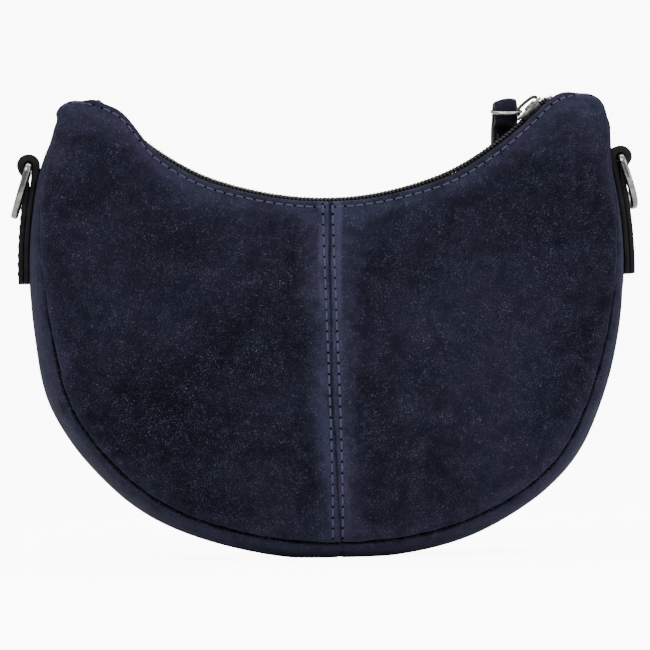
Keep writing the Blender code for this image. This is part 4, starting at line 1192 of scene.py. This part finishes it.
def through(points, spacing):
    """A smooth curve through points, with its own points evenly spaced."""
    ends = np.vstack([2 * points[0] - points[1], points, 2 * points[-1] - points[-2]])
    s = np.linspace(0, 1, 24, endpoint=False)[:, None]
    parts = [
        0.5 * (2 * b + (c - a) * s + (2 * a - 5 * b + 4 * c - d) * s**2 + (3 * b - a - 3 * c + d) * s**3)
        for a, b, c, d in zip(ends, ends[1:], ends[2:], ends[3:])
    ]
    return evenly(np.vstack([*parts, points[-1:]]), spacing)


bail_path = through(np.array([on_zip(along, up) for along, up in BAIL_LINE]), 0.3)
bail_section = rounded_bar(thick=1.3, wide=1.8, corner=0.3)
bail = swept("bail_strip", bail_path, (0, 1, 0), bail_section, [dark_nickel])
dress(bail, "slider", "slider_bail")
print("bail: %d points long" % len(bail_path))

# %% Pull ring
BAIL_BAR, BAIL_TOP, PLATE_TOP, RING_GAP = 0.9, 4.2, 1.25, 0.55
RING_RADIUS, WIRE_RADIUS, TILT = 5.8, 0.6, math.radians(10)
HINGE = on_zip(BAIL_LINE[0][0] + BAIL_BAR / 2 + RING_GAP + WIRE_RADIUS, (PLATE_TOP + BAIL_TOP - BAIL_BAR) / 2)
ring_axis = np.array([0, -math.sin(TILT), math.cos(TILT)])
ring_side = np.array([0, math.cos(TILT), math.sin(TILT)])
turns = turns_of(72)[:, None]
ring_path = HINGE + RING_RADIUS * ((np.cos(turns) - 1) * np.array([1, 0, 0]) + np.sin(turns) * ring_side)
turns = turns_of(16)
wire = WIRE_RADIUS * np.stack([np.cos(turns), np.sin(turns)], 1)
pull_wire = swept("pull_wire", ring_path, ring_axis, wire, [bright_nickel], closed=True)
dress(pull_wire, "pull_ring", "pull_ring")
print("ring hinge:", np.round(HINGE, 2))

# %% [markdown]
# ## Strap leather
# The pull tab and the two strap loops are suede strips. The cut edges of the loops are
# sealed with black paint, which dries smooth and slightly shiny, and those of the tab
# are left raw and look paler. So each strip has two materials: suede on its wide faces,
# and its edge on its narrow ones and its corners.

# %% Cut edges and strap suede
def cut_edge(name, scale, dark, light, shine):
    """The material of a strip's cut edge, painted or raw."""
    material, tree, shader = new_material(name)
    uneven = speckle(tree, scale, 4.0)
    fill(shader, {
        "Base Color": blend_colour(tree, ramp(tree, uneven, 0.3, 0.7), (*dark, 1), (*light, 1)),
        "Roughness": ramp(tree, uneven, 0.3, 0.7, 0.40, 0.65), "Specular IOR Level": shine,
        "Normal": relief_of(tree, uneven, 0.0002),
    })
    return material


edge_paint = cut_edge("edge_paint", 420.0, (0.0005, 0.0005, 0.0010), (0.0034, 0.0034, 0.0054), shine=0.14)
raw_edge = cut_edge("raw_edge", 1500.0, (0.0080, 0.0090, 0.0085), (0.0460, 0.0500, 0.0460), shine=0.05)
strap_suede = suede(
    "strap_suede", deep=(0.0016, 0.0016, 0.0034), pale=(0.0100, 0.0098, 0.0175), fibre=(0.046, 0.045, 0.070)
)
print("suedes:", nap.users)

# %% Folded strips
EDGE_WIDTH, LAYER_GAP = 0.45, 0.2


def strip(name, path, normal, thick, wide, edge, swell=1.0):
    """A flat strip with soft corners, of suede with its edges in another material."""
    section = rounded_bar(thick, wide, corner=0.42, flat_steps=5)
    middles = (section + np.roll(section, -1, 0)) / 2
    marks = [0 if abs(middle[1]) < wide / 2 - EDGE_WIDTH else 1 for middle in middles]
    piece = swept(name, path, normal, section, [strap_suede, edge], face_material=marks, swell=swell)
    keep_rub_sheen_shade(piece, 0.15 + 0.5 * np.tile(np.abs(section[:, 1]) / (wide / 2), len(path))**6)
    return piece


# %% [markdown]
# The tab is one strip, folded round the wire ring and sewn to itself below it. Its fold
# is domed and its hanging part turns a little about its left edge.

# %% Line of the pull tab
AXIS = HINGE - RING_RADIUS * np.array([1, 0, 0]) + RING_RADIUS * ring_side
LEAN, LEAVE = math.radians(14), math.radians(30)
TAB_RADIUS, TAB_THICK, TAB_WIDE, TAB_LENGTH, TAB_JOIN, TAB_PULL = 3.8, 1.4, 9.2, 29.0, 7.8, 2.6
TAB_SPACING = 0.5
down, out = np.array([0, math.sin(LEAN), -math.cos(LEAN)]), np.array([0, math.cos(LEAN), math.sin(LEAN)])
behind = AXIS + out * TAB_RADIUS
before = behind - out * (TAB_THICK + LAYER_GAP)


def round_ring(turn):
    """A point of the fold, part of a turn round the wire."""
    return AXIS - TAB_RADIUS * (out * math.cos(turn) + down * math.sin(turn))


from_ring, join = round_ring(-LEAVE), before + down * TAB_JOIN
arrive = from_ring + TAB_PULL * (down * math.cos(LEAVE) + out * math.sin(LEAVE))
tab_path = evenly(np.vstack([
    before + down * np.linspace(TAB_LENGTH, TAB_JOIN, 30)[:-1, None],
    bezier([join, join - down * TAB_PULL, arrive, from_ring], np.linspace(0, 1, 16)[:-1]),
    [round_ring(turn) for turn in np.linspace(-LEAVE, math.pi, 34)],
    behind + down * np.linspace(0, TAB_LENGTH, 40)[1:, None],
]), TAB_SPACING)

# %% Shape the pull tab
TAB_TWIST = math.radians(15)
between = (behind + before) / 2


def shape_tab(spots):
    """Dome the fold of the tab, and turn its hanging part about its left edge."""
    x, y, z = spots[:, 0] - AXIS[0], spots[:, 1], spots[:, 2]
    turn = TAB_TWIST * (1 - rise(z, AXIS[2] - 8, AXIS[2] - 1))
    middle = between[1] + (between[2] - z) * math.tan(LEAN)
    curve = np.where(x > 2, 0.085, 0.041)
    dome = rise(z, AXIS[2] - 9, AXIS[2] + 2.5) * (0.25 - curve * (x - 2)**2)
    from_edge, across = x + TAB_WIDE / 2, y - middle
    return np.stack([
        AXIS[0] - TAB_WIDE / 2 + from_edge * np.cos(turn) - across * np.sin(turn),
        middle + from_edge * np.sin(turn) + across * np.cos(turn), z + dome
    ], 1)


tab = strip("tab_strip", tab_path, (1, 0, 0), TAB_THICK, TAB_WIDE, raw_edge)
move_points(tab, shape_tab)
dress(tab, "pull_tab", "pull_tab")
print("tab strip length: %.0f mm" % (TAB_SPACING * len(tab_path)))

# %% [markdown]
# ## Strap loops and rings
# On each side a strip lies against the gusset, goes up through the straight bar of a cast
# ring, and comes back down over itself. Two rows of stitches hold it. The ring hangs from
# the fold and leans a little off the strap.

# %% Line of a strap loop
EYE_HEIGHT, FOOT_HEIGHT, LOOP_THICK, LOOP_WIDE, LOOP_JOIN = 152.5, 108.0, 1.9, 16.0, 9.0
LOOP_GAP, BAR_GAP, LOOP_PULL, LOOP_SPACING, LOOP_FULLNESS = 0.3, 0.45, 2.4, 0.6, 0.19
CAST_HALF = math.hypot(2.7, 1.3) / 2
shares = np.linspace(0.5, 1, 3000)
foot, top, join_share = np.interp(
    [FOOT_HEIGHT, EYE_HEIGHT, EYE_HEIGHT - LOOP_JOIN], crest_at(shares)[0][:, 1], shares
)
point, outward = crest_at(top)
upward = np.array([-outward[1], outward[0]])
eye = point + outward * (LOOP_GAP + LOOP_THICK + CAST_HALF + BAR_GAP)
inner_lift = LOOP_GAP + LOOP_THICK / 2
outer_lift = inner_lift + LOOP_THICK + LAYER_GAP

spots, normals = crest_at(np.linspace(foot, top, 45)[:-1])
inner_run = spots + normals * inner_lift
turns = np.linspace(0, 1.25 * math.pi, 46)[:, None]
fold_radius = CAST_HALF + BAR_GAP + LOOP_THICK / 2 + 0.3 * rise(turns, 0, 1.1) * (1 - rise(turns, 3.0, 3.9))
round_bar = eye + fold_radius * (upward * np.sin(turns) - outward * np.cos(turns))
spots, normals = crest_at(np.linspace(join_share, foot, 34))
outer_run = spots + normals * outer_lift
leaving, fall = unit(round_bar[-1] - round_bar[-2]), np.array([normals[0, 1], -normals[0, 0]])
pulls = [round_bar[-1], round_bar[-1] + leaving * LOOP_PULL, outer_run[0] - fall * LOOP_PULL, outer_run[0]]
tuck_in = bezier(pulls, np.linspace(0, 1, 14)[1:-1])
loop_line = evenly(np.vstack([inner_run, round_bar, tuck_in, outer_run]), LOOP_SPACING)
past_bar = LOOP_SPACING * np.arange(len(loop_line)) - reach_of(inner_run)[-1]
fold_swell = 1 + 0.38 * rise(past_bar, -7, 0) * (1 - rise(past_bar, 11, 18))
print("loop strip length: %.0f mm" % (LOOP_SPACING * len(loop_line)))

# %% Strap loops
for side in ("left", "right"):
    path = np.stack([loop_line[:, 0] * MIRROR[side], loop_line[:, 0] * 0, loop_line[:, 1]], 1)
    thick = LOOP_THICK + LOOP_FULLNESS
    loop = strip("loop_strip_" + side, path, (0, 1, 0), thick, LOOP_WIDE, edge_paint, fold_swell)
    dress(loop, "bag", side + "_strap_loop")

# %% Cast rings
RING_HALF, RING_CORNER, RING_ARM, RING_BOW = 10.1, 2.4, 7.2, 12.3
CAST_BAR, CAST_ROUND, HANG = 1.37, 0.62, math.radians(6)
drop = outward * math.sin(HANG) - upward * math.cos(HANG)
corner_turns = np.linspace(0, math.pi / 2, 9)
bow_turns = np.linspace(0, math.pi / 2, 25)[1:]
right_arm = np.vstack([
    np.stack([
        RING_HALF - RING_CORNER * (1 - np.sin(corner_turns)), RING_CORNER * (1 - np.cos(corner_turns))
    ], 1),
    np.stack([RING_HALF * np.abs(np.cos(bow_turns))**0.9, RING_ARM + RING_BOW * np.sin(bow_turns)**0.9], 1),
])
whole = np.vstack([right_arm, right_arm[-2::-1] * np.array([-1, 1]), right_arm[:1]])
whole = evenly(whole, 0.8)[:-1]
turns = turns_of(24) + math.pi / 24
cast = np.stack([
    CAST_BAR * np.sign(wave) * np.abs(wave)**CAST_ROUND for wave in (np.cos(turns), np.sin(turns))
], 1)
for side in ("left", "right"):
    path = np.stack([
        (eye[0] + drop[0] * whole[:, 1]) * MIRROR[side], whole[:, 0], eye[1] + drop[1] * whole[:, 1]
    ], 1)
    normal = np.cross([0, 1, 0], [drop[0] * MIRROR[side], 0, drop[1]])
    ring = swept("cast_ring_" + side, path, normal, cast, [polished_gunmetal], closed=True)
    dress(ring, side + "_d_ring", side + "_d_ring")
print("cast ring: %d points round" % len(whole))

# %% [markdown]
# ## Zip stops
# Small metal clips close the ends of the chain: one across both rows at the left, and one
# on each row at the right. Each is a short bar, pinched in the middle.

# %% Stops
STOP_AT, STOP_DEPTH, STOP_POINTS = 49.36, 0.75, 15


def stop(name, angle_deg, near_end, far_end, node):
    """A clip across the chain, at an angle along the zip's arc."""
    flat, turn = arc_at(angle_deg, STOP_DEPTH), math.radians(angle_deg)
    spots = np.linspace(near_end, far_end, STOP_POINTS)
    path = settle_chain(np.stack([spots * 0 + flat[0], spots, spots * 0 + flat[1]], 1))
    share = np.linspace(-1, 1, STOP_POINTS)
    scale = (1 - 0.1 * near(share, 0, 0.25)) * np.sqrt(1 - 0.45 * share**12)
    normal = (math.cos(turn), 0, math.sin(turn))
    section = rounded_bar(thick=1.85, wide=0.88, corner=0.22)
    piece = swept(name, path, normal, section, [bright_nickel], scale=scale)
    dress(piece, "bag", node)
    print(name, "length: %.1f mm" % (far_end - near_end))


aside = parting(STOP_AT)
stop("stop_clip_bottom", -STOP_AT, -3.4, 3.4, "bottom_stop")
stop("stop_clip_front", STOP_AT, -2.7 - aside, -1.0 - aside, "front_top_stop")
stop("stop_clip_back", STOP_AT, 1.0 + aside, 2.7 + aside, "back_top_stop")

# %% [markdown]
# ## Stitches
# A stitch is a short length of thread that comes up through the suede, runs along it and
# dives back in. Hundreds of them follow the seams, so Geometry Nodes place them: the tree
# puts one bent thread on each point, turned along the seam and standing on the surface.
# Each stitch ends in a needle hole, where the suede is pulled in. The holes are drawn
# with a second small tree: a flattened ball, sunk in the skin, at both ends of every
# stitch, in a near black that paints the shade inside the hole.


# %% Stitch and hole trees
def on_points(tree, shape, given):
    """Copies of a shape on every point, turned along the seam and standing on the surface."""
    kind = "GeometryNodeInputNamedAttribute"
    along, outwards = (
        add_node(tree, kind, {"Name": label}, data_type="FLOAT_VECTOR").outputs["Attribute"]
        for label in ("along", "out")
    )
    facing = add_node(
        tree, "FunctionNodeAxesToRotation", {"Primary Axis": along, "Secondary Axis": outwards},
        primary_axis="X", secondary_axis="Z",
    ).outputs["Rotation"]
    sources = {"Points": given["Geometry"], "Instance": shape, "Rotation": facing}
    return add_node(tree, "GeometryNodeInstanceOnPoints", sources).outputs["Instances"]


DIVE = -0.0003
stitching, given, result = new_group(
    "GeometryNodeTree", "stitching",
    {"Geometry": None, "Length": 0.0034, "Rise": 0.00025, "Thread Radius": 0.00036, "Material": None},
    ("Geometry",),
)
half = maths(stitching, "MULTIPLY", given["Length"], 0.5)
crown = maths(stitching, "MULTIPLY", given["Rise"], 2.2)
start, middle, end = (
    add_node(stitching, "ShaderNodeCombineXYZ", {"X": x, "Z": z}).outputs["Vector"]
    for x, z in ((maths(stitching, "MULTIPLY", half, -1.0), DIVE), (0.0, crown), (half, DIVE))
)
bend = {"Resolution": 7, "Start": start, "Middle": middle, "End": end}
bend = add_node(stitching, "GeometryNodeCurveQuadraticBezier", bend).outputs["Curve"]
end_tree(stitching, on_points(stitching, tube(stitching, bend, given["Thread Radius"]), given), given, result)

piercing, given, result = new_group(
    "GeometryNodeTree", "piercing", {"Geometry": None, "Hole Radius": 0.0005, "Material": None}, ("Geometry",)
)
ball = {"Segments": 8, "Rings": 4, "Radius": given["Hole Radius"]}
ball = add_node(piercing, "GeometryNodeMeshUVSphere", ball).outputs["Mesh"]
dent = add_node(piercing, "GeometryNodeTransform", {"Geometry": ball, "Scale": (1.25, 0.95, 0.32)})
end_tree(piercing, on_points(piercing, dent.outputs["Geometry"], given), given, result)

navy_thread = speckled(
    "navy_thread", 1900.0, 2.0, dark=(0.017, 0.0175, 0.033), light=(0.054, 0.056, 0.100),
    rough=0.75, specular=0.2,
)
# painted shade: the holes are near black for the shade inside them
needle_hole = speckled(
    "needle_hole", 3000.0, 2.0, dark=(0.0003, 0.0003, 0.0006), light=(0.0014, 0.0014, 0.0024),
    rough=1.0, specular=0.0,
)
print("nodes in the stitch:", len(stitching.nodes))


# %% Sew along lines
def seam_points(name, lines, pitch, middles, lift):
    """A mesh of points along lines, at the stitches' middles or at their ends."""
    spots, headings, normals = [], [], []
    for line, normal in lines:
        both = evenly(np.hstack([line, normal]), pitch)
        run = np.gradient(both[:, :3], axis=0)
        if middles:
            both, run = (both[1:] + both[:-1]) / 2, (run[1:] + run[:-1]) / 2
        spots.append(both[:, :3] + lift * both[:, 3:])
        headings.append(run)
        normals.append(both[:, 3:])
    base = bpy.data.meshes.new(name)
    base.from_pydata((np.vstack(spots) * 0.001).tolist(), [], [])
    for label, values in (("along", headings), ("out", normals)):
        layer = base.attributes.new(label, "FLOAT_VECTOR", "POINT")
        layer.data.foreach_set("vector", unit(np.vstack(values)).reshape(-1).astype(np.float32))
    return base


def sew(name, lines, pitch, length, hole, body="bag", thread_radius=0.36):
    """Stitches and their needle holes along lines, each given as points and outward directions."""
    middles = seam_points(name + "_points", lines, pitch, middles=True, lift=0.0)
    ends = seam_points(name + "_ends", lines, pitch, middles=False, lift=-0.02)
    sizes = {"length": length * 0.001, "thread_radius": thread_radius * 0.001, "rise": 0.00022}
    thread = grow(name, stitching, middles, material=navy_thread, **sizes)
    holes = grow(name + "_holes", piercing, ends, hole_radius=hole * 0.001, material=needle_hole)
    for item in (thread, holes):
        dress(item, body)


# %% Sew the seams and hems
seam_lines, hem_lines = [], []
for half in face_grids.values():
    both = np.concatenate(half, -1)
    line = [along_line(both[:30, j], SEAM_ROW, np.abs(both[:30, j, 0])) for j in range(1, len(rows) - 7)]
    seam_lines.append(np.split(np.array(line), 2, 1))
    line = [
        along_line(both[i, :20], HEM_ROW, reach_of(both[i, :20, :3]))
        for i in range(len(stations)) if 0.3 <= stations[i] <= 19.2
    ]
    hem_lines.append(np.split(np.array(line), 2, 1))
sew("seam_stitches", seam_lines, pitch=4.25, length=3.7, hole=0.52)
sew("hem_stitches", hem_lines, pitch=3.9, length=3.3, hole=0.5)

# %% Sew the loops and the tab
LOOP_ROW, TAB_ROW = 5.9, 2.7
TAB_STITCHED = (9.0, 18.0, 27.5)
outer_line = evenly(outer_run, 0.5)
heading = unit(np.gradient(outer_line, axis=0))[4:-4]
facing = np.stack([-heading[:, 1], heading[:, 0]], 1)
spots = outer_line[4:-4] + facing * LOOP_THICK / 2
loop_rows = []
for side in ("left", "right"):
    for across in (-LOOP_ROW, LOOP_ROW):
        line = np.stack([spots[:, 0] * MIRROR[side], np.full(len(spots), across), spots[:, 1]], 1)
        normal = np.stack([facing[:, 0] * MIRROR[side], np.zeros(len(spots)), facing[:, 1]], 1)
        loop_rows.append((line, normal))
sew("loop_stitches", loop_rows, pitch=3.6, length=3.0, hole=0.4, thread_radius=0.3)

turned_out = np.array([-out[1] * math.sin(TAB_TWIST), out[1] * math.cos(TAB_TWIST), out[2]])
tab_rows = []
for across in (-TAB_ROW, TAB_ROW):
    for layer, way in ((behind, 1), (before, -1)):
        start_row = layer + way * out * TAB_THICK / 2 + np.array([across, 0, 0])
        line = shape_tab(np.array([start_row + down * reach for reach in TAB_STITCHED]))
        tab_rows.append((line, np.tile(way * turned_out, (3, 1))))
sew(
    "tab_stitches", tab_rows, pitch=3.4, length=2.8, hole=0.4, body="pull_tab",
    thread_radius=0.3,
)
